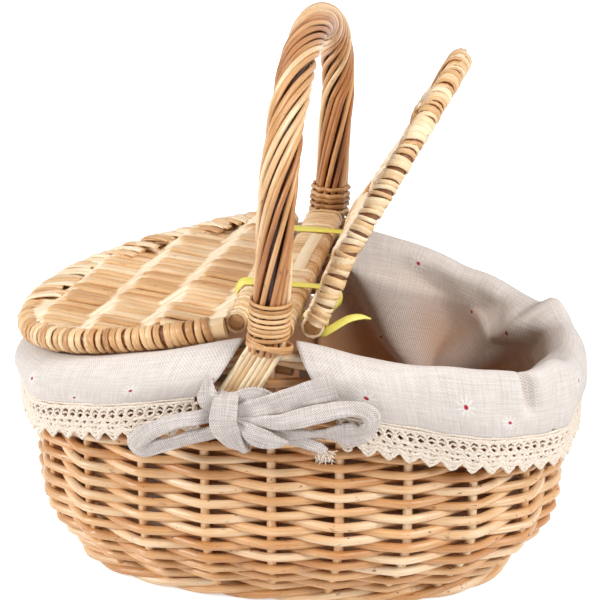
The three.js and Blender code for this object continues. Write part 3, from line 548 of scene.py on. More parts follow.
def handleFrame(share):
    run = (handlePoint(min(share + 0.001, 1)) - handlePoint(max(share - 0.001, 0))).normalized()
    side = (Vector((1, 0, 0)) - run * run.x).normalized()
    return handlePoint(share), side, run.cross(side)


bm = newShape()
# Painted shade: the core gets the darkest tone, so the gaps between the twisted rods show dark as shade
rod(bm, [handlePoint(share) for share in shares(60)], handle["core"], sides=10, tone=-0.5)
start = handle["start"]
for k, gap in enumerate(handle["gaps"]):
    start += 2 * asin(handle["rodRadius"] / handle["ring"]) + gap
    ring = handle["ring"] + vary(*handle["uneven"])
    path = []
    for share in shares(handle["steps"]):
        eased = share - handle["ease"] * sin(tau * share) / tau
        turn = start + tau * handle["turns"] * eased
        turn += handle["stray"] * sin(9 * share + k * 1.7)
        centre, side, top = handleFrame(share)
        path.append(centre + (side * cos(turn) + top * sin(turn)) * ring)
    rod(bm, path, handle["rodRadius"] * vary(0.92, 1.06), vary(-0.12, 0.12), tone=vary(0.1, 0.85))
handleNodes = ["handle_core"] + ["handle_rod_%d" % (i + 1) for i in range(8)]
makePiece("twisted_handle", bm, handleWillow, handleNodes)


# A hull says where a winding lies at a turn: across, up, and the way it faces
def roundHull(radius):
    def hull(turn):
        c, s = cos(turn), sin(turn)
        return radius * c, radius * s, (c, s)

    return hull


# Separate turns of split skein, each a little different. place gives the middle line and its two cross axes.
def turnsRound(bm, place, hull, start, end, count, half, slant, steps=12, loose=0.35, flat=0.8,
               tones=(0.3, 0.95), spread=(0.84, 1.1)):
    for i in range(count):
        middle = start + (end - start) * (i + 0.5) / count + vary(-loose, loose)
        lean = slant * vary(0.2, 1.5)
        twist = vary(0, 1.6)
        proud = vary(-0.5, 0.7) * loose
        path = []
        facing = []
        for k in range(steps):
            turn = tau * k / steps
            centre, side, top = place(middle + lean * sin(turn + twist))
            across, rise, normal = hull(turn)
            out = side * normal[0] + top * normal[1]
            path.append(centre + side * across + top * rise + out * proud)
            facing.append(out)
        wide = half[0] * vary(*spread)
        thick = half[1] * vary(0.85, 1.2)
        sweep(bm, path, (wide, thick), 8, True, facing, vary(*tones), flat)


# Cane at the handle's feet: a broad band, above it thin turns in front and woven rows at the back
binding = {
    "front": {"start": 8, "end": 27.5, "count": 8, "half": (1.05, 0.65)},
    "back": {"start": 6.5, "end": 22.5, "count": 5, "half": (1.25, 0.95)},
    "both": {"slant": 0.35, "steps": 36, "loose": 0.3, "tones": (0.05, 0.45)},
    "band": {"start": 2.6, "end": 6, "count": 2, "half": (1.25, 0.8), "slant": -1.8, "steps": 24,
             "tones": (0, 0.4)},
    "radius": {"front": 9.75, "back": 9.9}, "weave": 0.7, "weaveRods": 9,
    "bandHalf": (10.9, 10.4), "bandShift": 0.8,
}


def bandHull(turn):
    c, s = cos(turn), sin(turn)
    return binding["bandHalf"][0] * c + binding["bandShift"], binding["bandHalf"][1] * s, (c, s)


def wovenHull(turn):
    radius = binding["radius"]["back"] + binding["weave"] * cos(binding["weaveRods"] * turn)
    return roundHull(radius)(turn)


for end in ("front", "back"):
    bm = newShape()

    def bindingPlace(along, end=end):
        rise = along / handleLength
        return handleFrame(rise if end == "front" else 1 - rise)

    hull = roundHull(binding["radius"]["front"]) if end == "front" else wovenHull
    turnsRound(bm, bindingPlace, hull, **binding[end], **binding["both"])
    turnsRound(bm, bindingPlace, bandHull, **binding["band"])
    makePiece(end + "_binding", bm, cane, [end + "_handle_binding"])

# Rods that run on from the handle's feet, down over the wall
fan = {"rods": 7, "radius": 1.4, "pitch": 2.7, "spread": 0.1, "start": -0.4, "slant": -22.5, "out": 99.3,
       "bulge": 1.2, "top": 151.5, "drop": 38}
ends = {"front": Matrix.Rotation(0, 4, "Z"), "back": Matrix.Rotation(pi, 4, "Z")}
for end, turned in ends.items():
    bm = newShape()
    for k in range(fan["rods"]):
        across = (k - (fan["rods"] - 1) / 2) * fan["pitch"]
        path = []
        for t in shares(12):
            x = fan["start"] + across * (1 + fan["spread"] * t) + fan["slant"] * t
            y = -fan["out"] - fan["bulge"] * sin(pi * t)
            path.append(Vector((x, y, fan["top"] - fan["drop"] * t)))
        rod(bm, path, fan["radius"], 0.08, tone=vary(0.45, 1))
    makePiece(end + "_foot_rods", bm, cane, [end + "_foot_fan"], turned=turned)
print("handle made")

# Crossbar: two rods side by side, wound with flat cane, and one broad loose strip along the top
hinge = {"x": 18.789, "z": 155.579}
bar = {
    "reach": 86.4, "offset": 4.4, "rodRadius": 4.2, "marks": (-86.2, -40, 0, 40, 86.2), "hull": 5.3,
    "inset": 0.5, "winding": {"count": 44, "half": (1.85, 0.6), "slant": 0.5, "steps": 16},
}
strip = {"half": (3.4, 0.5), "marks": range(-14, 43, 7), "shift": 1.5, "rise": 6.3, "high": 14,
         "slope": 0.03}


def barHull(turn):
    c, s = cos(turn), sin(turn)
    return bar["hull"] * c + bar["offset"] * max(-1, min(1, 2.5 * c)), bar["hull"] * s, (c, s)


def barPlace(along):
    return Vector((0, along - bar["reach"], hinge["z"])), Vector((1, 0, 0)), -up


bm = newShape()
for sign in (-1, 1):
    path = [Vector((sign * bar["offset"], y, hinge["z"])) for y in bar["marks"]]
    rod(bm, path, bar["rodRadius"], sides=10)
turnsRound(bm, barPlace, barHull, bar["inset"], 2 * bar["reach"] - bar["inset"], **bar["winding"])
path = []
for y in strip["marks"]:
    z = hinge["z"] + strip["rise"] - strip["slope"] * abs(y - strip["high"])
    path.append(Vector((strip["shift"] + strip["slope"] * y, y, z)))
sweep(bm, path, strip["half"], 8, False, [up] * len(path), 0.9, 0.6)
barNodes = ["crossbar_rod_left", "crossbar_rod_right", "crossbar_wrap"]
makePiece("crossbar", bm, cane, barNodes)

# Lids, made lying flat with the hinge rod along Y, then set on the crossbar. over says on which side the
# skeins' ends lie.
lid = {
    "reach": 127, "half": 84, "power": 2.3, "bowFrom": 4.4, "capLength": 10,
    "rodRadius": 4.1, "rodReach": 81, "rodHull": 4.9, "domed": [(0.6, 0.88), (0.8, 1)],
    "rodWinding": {"count": 58, "half": (1.4, 0.75), "slant": 0.6, "steps": 10, "loose": 0.3},
    "skein": (2.6, 1.6), "skeinPitch": 5.3, "skeinRange": (-80, 81), "skeinFrom": 3, "skeinStep": 2.6,
    "lift": 2.6, "wave": 3.5, "wavePitch": 38.4, "crest": 25.25, "steep": 0.48, "drift": 0.17, "warpRun": 50,
    "ends": 54, "endOver": 22, "endThick": 0.8, "ribs": 3, "ribRadius": 1.8, "ribDrop": 1.35, "ribInset": 8,
    "endLine": [(-1, 4.6), (-0.75, 6), (-0.5, 6.5), (-0.25, 6.7), (0, 6.6), (0.13, 5.6), (0.24, 3.2),
                (0.28, 0)],
}
lidSides = {
    "left": {
        "turn": pi, "tilt": radians(13.2), "over": -1, "warp": 0, "bowRadius": 4.9, "bowHull": 5.5,
        "bare": 7, "endLift": 1,
        "winding": {"count": 78, "half": (2.1, 0.9), "slant": 0.9, "loose": 0.5, "flat": 0.75,
                    "tones": (0.1, 0.65), "spread": (0.72, 1.05)},
    },
    "right": {
        "turn": 0, "tilt": radians(-61.5), "over": 1, "warp": 0.05, "bowRadius": 4.3, "bowHull": 4.8,
        "bare": 1, "endLift": 0.86,
        "winding": {"count": 104, "half": (1.7, 0.6), "slant": 1.7, "loose": 0.5, "flat": 0.6,
                    "tones": (0.25, 0.85), "spread": (0.6, 1.3)},
    },
}


def lidOutline(angle):
    exponent = 2 / lid["power"]
    x = lid["reach"] * abs(sin(angle)) ** exponent
    return Vector((x, -lid["half"] * power(cos(angle), exponent), 0))


bowStart = asin((lid["bowFrom"] / lid["reach"]) ** (lid["power"] / 2))
bowAngle = pi - 2 * bowStart
bowFine = [lidOutline(bowStart + bowAngle * i / 900) for i in range(901)]
bowLengths = [0.0]
for a, b in zip(bowFine, bowFine[1:]):
    bowLengths.append(bowLengths[-1] + (b - a).length)
bowLength = bowLengths[-1]


def bowPlace(along):
    i, part = stepAt(bowLengths, along)
    run = (bowFine[i] - bowFine[i - 1]).normalized()
    return bowFine[i - 1].lerp(bowFine[i], part), run.cross(up), -up


def hingePlace(along):
    return Vector((0, along, 0)), Vector((1, 0, 0)), -up


def lidReach(y, inset):
    return halfChord(lid["reach"] - inset, min(abs(y) / (lid["half"] - inset), 1), lid["power"])


# The panel falls steeply on the outer side of each rib, and gently back to the next one
def lidPart(x):
    return (x - lid["crest"]) / lid["wavePitch"] % 1


def lidWave(x):
    part = lidPart(x)
    fall = part / lid["steep"] if part < lid["steep"] else (1 - part) / (1 - lid["steep"])
    return lid["lift"] + lid["wave"] * (1 - 2 * min(max(1.12 * fall - 0.06, 0), 1))


# Painted highlight: the steep outer slopes are painted paler, standing for the light they catch
def lidPaintedLight(x):
    part = lidPart(x)
    return smooth(0, 0.07, part) * smooth(lid["steep"] + 0.02, lid["steep"] - 0.06, part)


def lidFacing(y):
    x = (lidReach(y, 0) / lid["reach"]) ** (lid["power"] - 1) / lid["reach"]
    across = (abs(y) / lid["half"]) ** (lid["power"] - 1) / lid["half"]
    return x / hypot(x, across)


def lidRim(bm, own):
    path = [bowPlace(bowLength * i / 60)[0] for i in range(61)]
    # Painted shade: the bow under the winding gets a dark tone, so the gaps between the turns show dark as
    # shade
    rod(bm, path, own["bowRadius"], tone=-0.2)
    bare = own["bare"]
    turnsRound(bm, bowPlace, roundHull(own["bowHull"]), bare, bowLength - bare, **own["winding"])
    for first in (0, bowLength - lid["capLength"]):
        path = [bowPlace(first + lid["capLength"] / 4 * i)[0] for i in range(5)]
        rod(bm, path, own["bowRadius"] + 0.2, sides=12, tone=0.6)


def lidPivot(bm, own):
    reach = lid["rodReach"]
    domed = lid["domed"] + [(reach, 1)]
    marks = domed + [(2 * reach - along, size) for along, size in domed[-2::-1]]
    path = [hingePlace(along - reach)[0] for along, _ in marks]
    # Painted shade: the hinge rod gets a dark tone, so its ends and the gaps between its turns show dark as
    # shade
    sweep(bm, path, [(lid["rodRadius"] * size,) * 2 for _, size in marks], 12, tone=0.1)
    turnsRound(bm, hingePlace, roundHull(lid["rodHull"]), -reach, reach, **lid["rodWinding"])


def lidSkein(bm, y, over):
    tip = lidReach(y, 2.5)
    slip = vary(-2, 2) + lid["drift"] * y * over
    lift = vary(-0.5, 0.5)
    shade = vary(0.25, 0.75)
    if tip <= 12:
        return
    length = tip - lid["skeinFrom"]
    count = max(4, round(length / lid["skeinStep"]))
    path = []
    tones = []
    for i in range(count + 1):
        x = lid["skeinFrom"] + length * i / count
        z = lidWave(x + slip) + lift
        if lidFacing(y) > 0.35:
            z += (max(z, 4.2) - z) * smooth(tip - 14, tip - 2, x)
        path.append(Vector((x, y + 0.3 * sin(x / 9 + y), z)))
        # Painted highlight: the tone rises on the steep slopes
        tones.append(shade + 0.55 * lidPaintedLight(x + slip) * vary(0.7, 1.1))
    wide = lid["skein"][0] * vary(1.02, 1.16)
    facing = []
    for i, p in enumerate(path):
        run = path[min(i + 1, len(path) - 1)] - path[max(i - 1, 0)]
        facing.append(Vector((-run.z, 0, run.x)))
    sweep(bm, path, (wide, lid["skein"][1]), 8, False, facing, tones)


# A skein's end that is laid over the rim and turned down outside it
def lidEnd(bm, along, endLift):
    middle, out, _ = bowPlace(along)
    run = (Vector((0.8, 0, 0)) + out * vary(0.5, 0.75)).normalized()
    back = vary(9, 22)
    proud = vary(-0.4, 0.9)
    path = []
    for place, z in lid["endLine"]:
        reach = back if place < 0 else lid["endOver"]
        path.append(middle + run * place * reach + up * (z * endLift + proud))
    wide = vary(1.5, 2.5)
    facing = [up, up, up, up, up, up + run * 0.6, up * 0.6 + run, run]
    sweep(bm, path, (wide, lid["endThick"]), 8, False, facing, vary(0.25, 1), 0.75)


def lidRib(bm, k, over):
    x = lid["crest"] + lid["wavePitch"] * k
    reach = halfChord(lid["half"], x / lid["reach"], lid["power"]) - lid["ribInset"]
    path = []
    for t in shares(8):
        y = -reach + 2 * reach * t
        path.append(Vector((x - lid["drift"] * over * y, y, lid["lift"] - lid["ribDrop"])))
    rod(bm, path, lid["ribRadius"], tone=0.2)


def lidWeave(bm, own):
    y, last = lid["skeinRange"]
    while y < last:
        lidSkein(bm, y, own["over"])
        y += lid["skeinPitch"] * vary(0.88, 1)
    for k in range(lid["ends"]):
        along = bowLength * (0.02 + 0.5 * (k + vary(0, 1)) / lid["ends"])
        lidEnd(bm, along if own["over"] < 0 else bowLength - along, own["endLift"])
    for k in range(lid["ribs"]):
        lidRib(bm, k, own["over"])


lidParts = {
    "rim": (lidRim, cane, ["bow", "bow_wrap"]),
    "pivot": (lidPivot, cane, ["hinge_rod", "hinge_rod_wrap"]),
    "weave": (lidWeave, lidStraw, ["panel"] + ["rib_%d" % (k + 1) for k in range(lid["ribs"])]),
}
hingeSeat = Matrix.Translation((hinge["x"], 0, hinge["z"]))
for side, own in lidSides.items():
    name = side + "_lid"
    seat = Matrix.Rotation(own["turn"], 4, "Z") @ hingeSeat @ Matrix.Rotation(own["tilt"], 4, "Y")
    for part, (make, material, nodes) in lidParts.items():
        bm = newShape()
        make(bm, own)
        for v in bm.verts:
            v.co.z -= own["warp"] * v.co.y * smooth(0, lid["warpRun"], v.co.x)
        makePiece(name + "_" + part, bm, material, [name + "_" + node for node in nodes], name, seat)
print("lids made")

# Yellow ties that loop round the crossbar and both hinge rods, and a loose end on the right lid
tie = {"half": (2.4, 0.45), "radius": 7.4, "steps": 48, "front": -40, "back": 46}
for end in ends:
    bm = newShape()
    path = []
    facing = []
    for i in range(tie["steps"]):
        turn = tau * i / tie["steps"]
        c, s = cos(turn), sin(turn)
        x = hinge["x"] * max(-1, min(1, 3 * c)) + tie["radius"] * c
        sway = sin(3 * turn + 1)
        path.append(Vector((x, tie[end] + 0.8 * sway, hinge["z"] + (tie["radius"] + 0.4 * sway) * s)))
        facing.append(Vector((c, -0.5 - 0.4 * sway, s)))
    sweep(bm, path, tie["half"], 8, True, facing, 0.6, 0.6)
    makePiece(end + "_tie", bm, yellowStrip, [end + "_hinge_tie"])

tail = {"half": 1.7, "thick": 0.45, "ringPlace": -71, "ringRadius": 6.3, "marks": [
    (20, -71, 149.4), (23, -74, 149.9), (27.2, -73, 152.6), (34.5, -69, 156.4), (40.4, -65, 156.6),
    (45, -62, 154.6),
]}
bm = newShape()
ring = [Vector((cos(tau * i / 20), 0, sin(tau * i / 20))) for i in range(20)]
path = [Vector((hinge["x"], tail["ringPlace"], hinge["z"])) + spoke * tail["ringRadius"] for spoke in ring]
sweep(bm, path, (tail["half"], tail["thick"]), 8, True, ring, 0.6, 0.6)
path = []
half = []
facing = []
for t in shares(30):
    path.append(Vector(through(tail["marks"], t)))
    wide = tail["half"] * (0.75 + 0.5 * sin(pi * t)) * (1 - 0.7 * smooth(0.75, 1, t))
    half.append((wide, tail["thick"]))
    facing.append(Vector((-0.3 + 0.5 * t, -0.75 + 0.4 * t, 0.6)))
sweep(bm, path, half, 8, False, facing, 0.7, 0.6)
makePiece("loose_strip", bm, yellowStrip, ["right_lid_tail"], "right_lid")
print("ties made")


# Linen: a plain weave of uneven threads, and on the liner small printed daisies and painted shade low
# inside, a warm brown for the shadow and the willow's bounce light, most where the cloth lies back between
# folds
thread = {"weft": (0.06, 1.5, 0), "warp": (1.5, 0.06, 0), "plait": 5.2}
daisy = {"apart": 43, "scatter": 0.55, "petals": 9, "reach": 3.2, "lobe": 1.7, "edge": (-0.3, 0.5),
         "cover": 0.45, "eye": (1.25, 0.8), "white": srgb(247, 245, 241), "red": srgb(178, 34, 58)}
# Painted shade: from where and to where down the liner it turns warm brown, and that brown
inside = {"from": 46, "to": 96, "colour": srgb(200, 148, 106)}


def daisyPrint(tree, cloth, colour):
    values = {"Vector": cloth, "Scale": 1 / daisy["apart"], "Randomness": daisy["scatter"]}
    cell = put(tree, "ShaderNodeTexVoronoi", values, voronoi_dimensions="2D").outputs["Position"]
    local = put(tree, "ShaderNodeVectorMath", {0: cloth, 1: cell}, operation="SUBTRACT").outputs[0]
    flat = scaled(tree, local, (1, 1, 0))
    away = lengthOf(tree, flat)
    parts = put(tree, "ShaderNodeSeparateXYZ", {0: flat}).outputs
    angle = maths(tree, "ARCTAN2", parts[1], parts[0])
    lobes = maths(tree, "COSINE", maths(tree, "MULTIPLY", angle, daisy["petals"]))
    reach = maths(tree, "MULTIPLY_ADD", lobes, daisy["lobe"], daisy["reach"])
    petal = ranged(tree, maths(tree, "SUBTRACT", reach, away), *daisy["edge"], 0, daisy["cover"])
    colour = mixed(tree, petal, colour, daisy["white"])
    return mixed(tree, ranged(tree, away, *daisy["eye"]), colour, daisy["red"])


def linenMaterial(name, light, dark, printAndShade):
    material, tree, shader = newMaterial(name)
    cloth = attribute(tree, "grain", "Vector")
    weft, warp = [blotch(tree, cloth, thread[run], 2.0, 0.6) for run in ("weft", "warp")]
    threads = maths(tree, "ADD", weft, warp)
    axes = put(tree, "ShaderNodeSeparateXYZ", {0: cloth}).outputs
    over, under = [maths(tree, "SINE", maths(tree, "MULTIPLY", axes[k], thread["plait"])) for k in (0, 1)]
    plait = maths(tree, "MULTIPLY", over, under)
    shade = maths(tree, "ADD", maths(tree, "MULTIPLY", plait, 0.16), maths(tree, "MULTIPLY", threads, 0.42))
    colour = ramp(tree, shade, [(0.22, dark), (0.56, light)])
    if printAndShade:
        colour = daisyPrint(tree, cloth, colour)
        # Painted shade: the liner turns warm brown deeper inside the basket, most where the cloth lies back
        # between folds
        depth = ranged(tree, axes[1], inside["from"], inside["to"])
        paintedShade = maths(tree, "MULTIPLY", depth, attribute(tree, "tone", "Fac"))
        colour = mixed(tree, paintedShade, colour, inside["colour"])
    height = maths(tree, "ADD", maths(tree, "MULTIPLY", plait, 0.35), threads)
    fill(tree, shader, {
        "Base Color": colour,
        "Roughness": 0.92,
        "Specular IOR Level": 0.2,
        "Sheen Weight": 0.15,
        "Normal": bumped(tree, height, 0.4, 0.0005),
    })
    return material


linen = linenMaterial("linen_print", srgb(234, 227, 222), srgb(196, 184, 176), True)
bowLinen = linenMaterial("linen_plain", srgb(228, 219, 214), srgb(152, 141, 135), False)
laceCotton, laceTree, laceShader = newMaterial("lace_cotton")
laceTwist = blotch(laceTree, attribute(laceTree, "grain", "Vector"), (1.1, 1.6, 1.6), 2.0)
fill(laceTree, laceShader, {
    "Base Color": ramp(laceTree, laceTwist, [(0.3, srgb(214, 192, 170)), (0.6, srgb(245, 234, 220))]),
    "Roughness": 0.9,
    "Normal": bumped(laceTree, laceTwist, 0.6, 0.0004),
})

# Liner: each half is one sheet, from the hem up over the rim, down inside the wall and in to the floor. rim
# says how far the right half stands up and leans out, from front to back. A fold has its places at the
# crest, the wall's top and the floor, its depth and its slopes' widths. crestRun is the cuff's share inside
# it.
liner = {
    "gapHem": 33, "gapTop": 24, "gapRun": 0.55, "corner": 11, "cornerRise": 2.2, "cornerWide": 0.1,
    "lap": 2.5, "hem": {"left": -9, "right": -13}, "waves": 6, "waveDepth": 1.5, "columns": 168,
    "cuffRows": 26, "bagRows": 34, "inset": 14.2, "below": 6, "floor": 7.2, "floorRun": 0.93, "floorIn": 16,
    "thick": 0.0009, "cuffLength": 58, "bagLength": 120, "crestRun": 0.43,
    "pinch": (0.3, 0.01), "pinchIn": 9.5, "pinchDown": 4, "seam": (0.352, 0.005), "seamIn": 1.6,
    "rim": [(0.6, 0), (3.2, 3), (8.3, 7.5), (8.5, 8.5), (7, 6), (4.5, 3), (5, 2.5), (0.8, 0), (-0.6, -0.5),
            (0.3, 0), (-0.4, 0)],
    "bumps": [(0.365, 4.5, 0.03), (0.632, 7.5, 0.03), (0.835, -0.8, 0.02), (0.775, 1, 0.025)],
    "folds": {
        "left": [((0.15, 0.2, 0.24), 9, 0.06, 0.09), ((0.4, 0.36, 0.33), 8, 0.09, 0.05),
                 ((0.62, 0.6, 0.57), 8, 0.05, 0.08), ((0.85, 0.83, 0.8), 9, 0.08, 0.06)],
        "right": [((0.08, 0.1, 0.13), 7, 0.05, 0.07), ((0.2, 0.23, 0.26), 8, 0.07, 0.05),
                  ((0.45, 0.42, 0.4), 7, 0.06, 0.08), ((0.615, 0.71, 0.9), 14, 0.05, 0.095),
                  ((1.06, 0.975, 0.6), 13, 0.13, 0.05), ((1.2, 1.1, 1.0), 8, 0.08, 0.1)],
    },
}


def hump(u, middle, wide):
    return exp(-((u - middle) / wide) ** 2)


def linerShare(side, u, gap):
    reach = 0.25 - gap / ovalLength
    return (0.5 if side == "left" else 0) - reach + 2 * reach * u


# The corners beside the handle's feet reach nearer to them, and stand higher in front
def cornerGap(u):
    return liner["corner"] * smooth(liner["cornerWide"], 0, min(u, 1 - u))


def cornerRise(side, u):
    return liner["cornerRise"] * smooth(liner["cornerWide"], 0, u if side == "right" else 1 - u)


def hemWave(side, u):
    seed = 3.1 if side == "left" else 8.4
    soft = noise.noise(Vector((u * 9, seed, 0)))
    even = liner["waveDepth"] * sin(tau * liner["waves"] * u) * sin(pi * u)
    return even + 1.4 * soft


# How far the folds hang in from the wall. down is -1 at the crest, 0 at the wall's top and 1 at the floor.
def foldDepth(side, u, down):
    total = 0
    for places, depth, near, far in liner["folds"][side]:
        middle = through([(p,) for p in places], (down + 1) / 2)[0]
        away = u - middle
        slope = 1 - smooth(0, far, away) if away > 0 else 1 - smooth(0, near, -away)
        total = max(total, depth * slope)
    return total * (1 - 0.6 * smooth(0.6, 1, down))


def cuffPoint(side, u, t):
    rise, lean, pinch, seam = 0.6, 0, 0, 0
    hem = liner["hem"][side]
    if side == "right":
        rise, lean = through(liner["rim"], u)
        rise += sum(high * hump(u, middle, wide) for middle, high, wide in liner["bumps"])
        rise += 0.8 * noise.noise(Vector((u * 17, 5, 0)))
        pinch = hump(u, *liner["pinch"])
        seam = hump(u, *liner["seam"]) * smooth(0.62, 0.4, t)
    rise += cornerRise(side, u)
    wave = hemWave(side, u)
    crease = noise.noise(Vector((u * 22, t * 3, 2))) * 0.7
    section = [
        (6 + wave, hem), (8 + wave, 0.52 * hem), (8.6 + 0.7 * wave, 0.5),
        (5.6 + 0.3 * wave + 0.4 * lean, 7 + 0.55 * rise), (-3 + lean, 12 + rise),
        (-10.6 + 0.25 * lean, 8.8 + 0.45 * rise), (-12.8, 1.5), (-liner["inset"], -liner["below"]),
    ]
    offset, height = through(section, t)
    tuck = pinch * smooth(0.2, 0.42, t) * smooth(0.9, 0.6, t)
    hang = foldDepth(side, u, (t - 1) / liner["crestRun"]) * smooth(0.56, 0.8, t)
    offset = offset + crease - liner["pinchIn"] * tuck - liner["seamIn"] * seam - hang
    return offset, height - liner["pinchDown"] * tuck


def bagPoint(side, u, t):
    gap = (liner["gapTop"] - cornerGap(u) + liner["lap"]) * (1 - smooth(0, 0.35, t))
    share = linerShare(side, u, gap - liner["lap"])
    high = wallTop(share) - liner["below"]
    z = max(high + (liner["floor"] - high) * t / liner["floorRun"], liner["floor"])
    slack = smooth(0, 0.3, t) * (1.5 + 2.5 * noise.noise(Vector((u * 7, t * 2, 9))))
    inset = liner["inset"] + foldDepth(side, u, t) + slack + liner["floorIn"] * smooth(0.9, 1, t)
    return wallPoint(share, z, 0) - outward(share) * inset


def linerSheet(side):
    bm = newShape()
    grainLayer = bm.verts.layers.float_vector["grain"]
    paintedShadeLayer = bm.verts.layers.float["tone"]
    rows = liner["cuffRows"] + liner["bagRows"]
    split = liner["cuffRows"] / rows
    grid = bmesh.ops.create_grid(bm, x_segments=liner["columns"], y_segments=rows, size=0.5)["verts"]
    for v in grid:
        u, w = v.co.x + 0.5, v.co.y + 0.5
        length = u * (0.5 * ovalLength - 2 * liner["gapTop"])
        if w <= split:
            t = w / split
            narrow = liner["gapTop"] - cornerGap(u) - liner["gapHem"]
            gap = liner["gapHem"] + narrow * min(t / liner["gapRun"], 1)
            offset, height = cuffPoint(side, u, t)
            v.co = edgePoint(linerShare(side, u, gap), offset, height)
            v[grainLayer] = (length, liner["cuffLength"] * t, 0)
            fold = foldDepth(side, u, (t - 1) / liner["crestRun"])
        else:
            t = (w - split) / (1 - split)
            v.co = bagPoint(side, u, t)
            v[grainLayer] = (length, liner["cuffLength"] + liner["bagLength"] * t, 0)
            fold = foldDepth(side, u, t)
        # Painted shade mask: near 1 where the cloth lies back between folds, lower where a fold hangs in;
        # the liner material turns warm brown by it
        v[paintedShadeLayer] = 0.95 - 0.6 * smooth(2, 11, fold)
    return bm


def addThickness(piece):
    skin = piece.modifiers.new("cloth thickness", "SOLIDIFY")
    skin.thickness = liner["thick"]
    skin.offset = 0


# The right half's crest stands above the closed lid's underside, and is pressed down as that lid shuts
linerBody = {"left": "basket", "right": None}
pressed = {"start": (0.1, 0, 0.1214), "end": (0.124, 0.006, 0.2286)}
halves = {}
for side, body in linerBody.items():
    bm = linerSheet(side)
    halves[side] = makePiece(side + "_liner", bm, linen, [side + "_cuff", "liner_bag"], body)
    addThickness(halves[side])
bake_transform(halves["right"], "basket", "right_lid", **pressed)

bottom = {"half": (103, 60), "above": 1.4, "uneven": 0.5, "clothFrom": 220}
bm = newShape()
for v in bmesh.ops.create_grid(bm, x_segments=44, y_segments=28, size=1)["verts"]:
    x = bottom["half"][0] * v.co.x * sqrt(1 - v.co.y * v.co.y / 2)
    y = bottom["half"][1] * v.co.y * sqrt(1 - v.co.x * v.co.x / 2)
    soft = noise.noise(Vector((x / 30, y / 30, 1)))
    v.co = (x + oval["baseShift"], y, liner["floor"] + bottom["above"] + bottom["uneven"] * soft)
    v[bm.verts.layers.float_vector["grain"]] = (x, y + bottom["clothFrom"], 0)
linerFloor = makePiece("liner_floor", bm, linen, ["liner_bag"])
addThickness(linerFloor)
print("liner made")

# Lace under each cuff, all of thread: cords, a row of eye holes, close rows and pointed teeth. A line has
# its radius, the shares of a tooth's width where its marks are, and how far they hang below the hem.
two = (0, 0.5)
four = (0, 0.25, 0.5, 0.75)
eyes = (0, 0.2, 0.3, 0.5, 0.7, 0.8)
points = (0, 0.17, 0.34, 0.5, 0.66, 0.83)
lace = {"teeth": 32, "flat": 0.8, "lines": [
    (0.9, two, (0.6, 0.6)),
    (0.95, two, (2.3, 2.5)),
    (0.95, eyes, (2.7, 4, 7.4, 9, 7.4, 4)),
    (0.95, eyes, (9, 7.4, 4, 2.7, 4, 7.4)),
    (0.6, four, (5, 7, 5.4, 6.4)),
    (1.0, four, (9.6, 9.0, 9.8, 9.0)),
    (0.85, four, (9.8, 12.2, 9.8, 12.2)),
    (1.0, four, (11.6, 12.4, 11.8, 12.6)),
    (0.85, four, (14.2, 12, 15, 12)),
    (1.05, four, (13.4, 14.6, 15.6, 14.6)),
    (1.0, points, (15, 16.3, 18.2, 19.6, 18.2, 16.3)),
    (1.0, points, (14.2, 15, 16.6, 17.6, 16.6, 15)),
]}
for side in ("left", "right"):
    bm = newShape()
    for radius, places, lows in lace["lines"]:
        path = []
        facing = []
        marks = [(i + x, low) for i in range(lace["teeth"]) for x, low in zip(places, lows)]
        marks.append((lace["teeth"], lows[0]))
        for (x0, low0), (x1, low1) in zip(marks, marks[1:]):
            for k in range(2):
                x, low = x0 + (x1 - x0) * k / 2, low0 + (low1 - low0) * k / 2
                wobble = Vector((x * 2.7, low * 0.9, radius * 40))
                u = (x + 0.09 * noise.noise(wobble)) / lace["teeth"]
                low += 0.6 * noise.noise(wobble + Vector((9, 0, 0)))
                share = linerShare(side, min(max(u, 0), 1), liner["gapHem"])
                offset = 6 + hemWave(side, u) - 0.05 * low + 0.4 * noise.noise(wobble + Vector((0, 9, 0)))
                path.append(edgePoint(share, offset, liner["hem"][side] - low))
                facing.append(outward(share))
        sweep(bm, path, (radius, radius * lace["flat"]), 5, False, facing)
    trim = makePiece(side + "_lace_trim", bm, laceCotton, [side + "_lace"])
print("lace made")

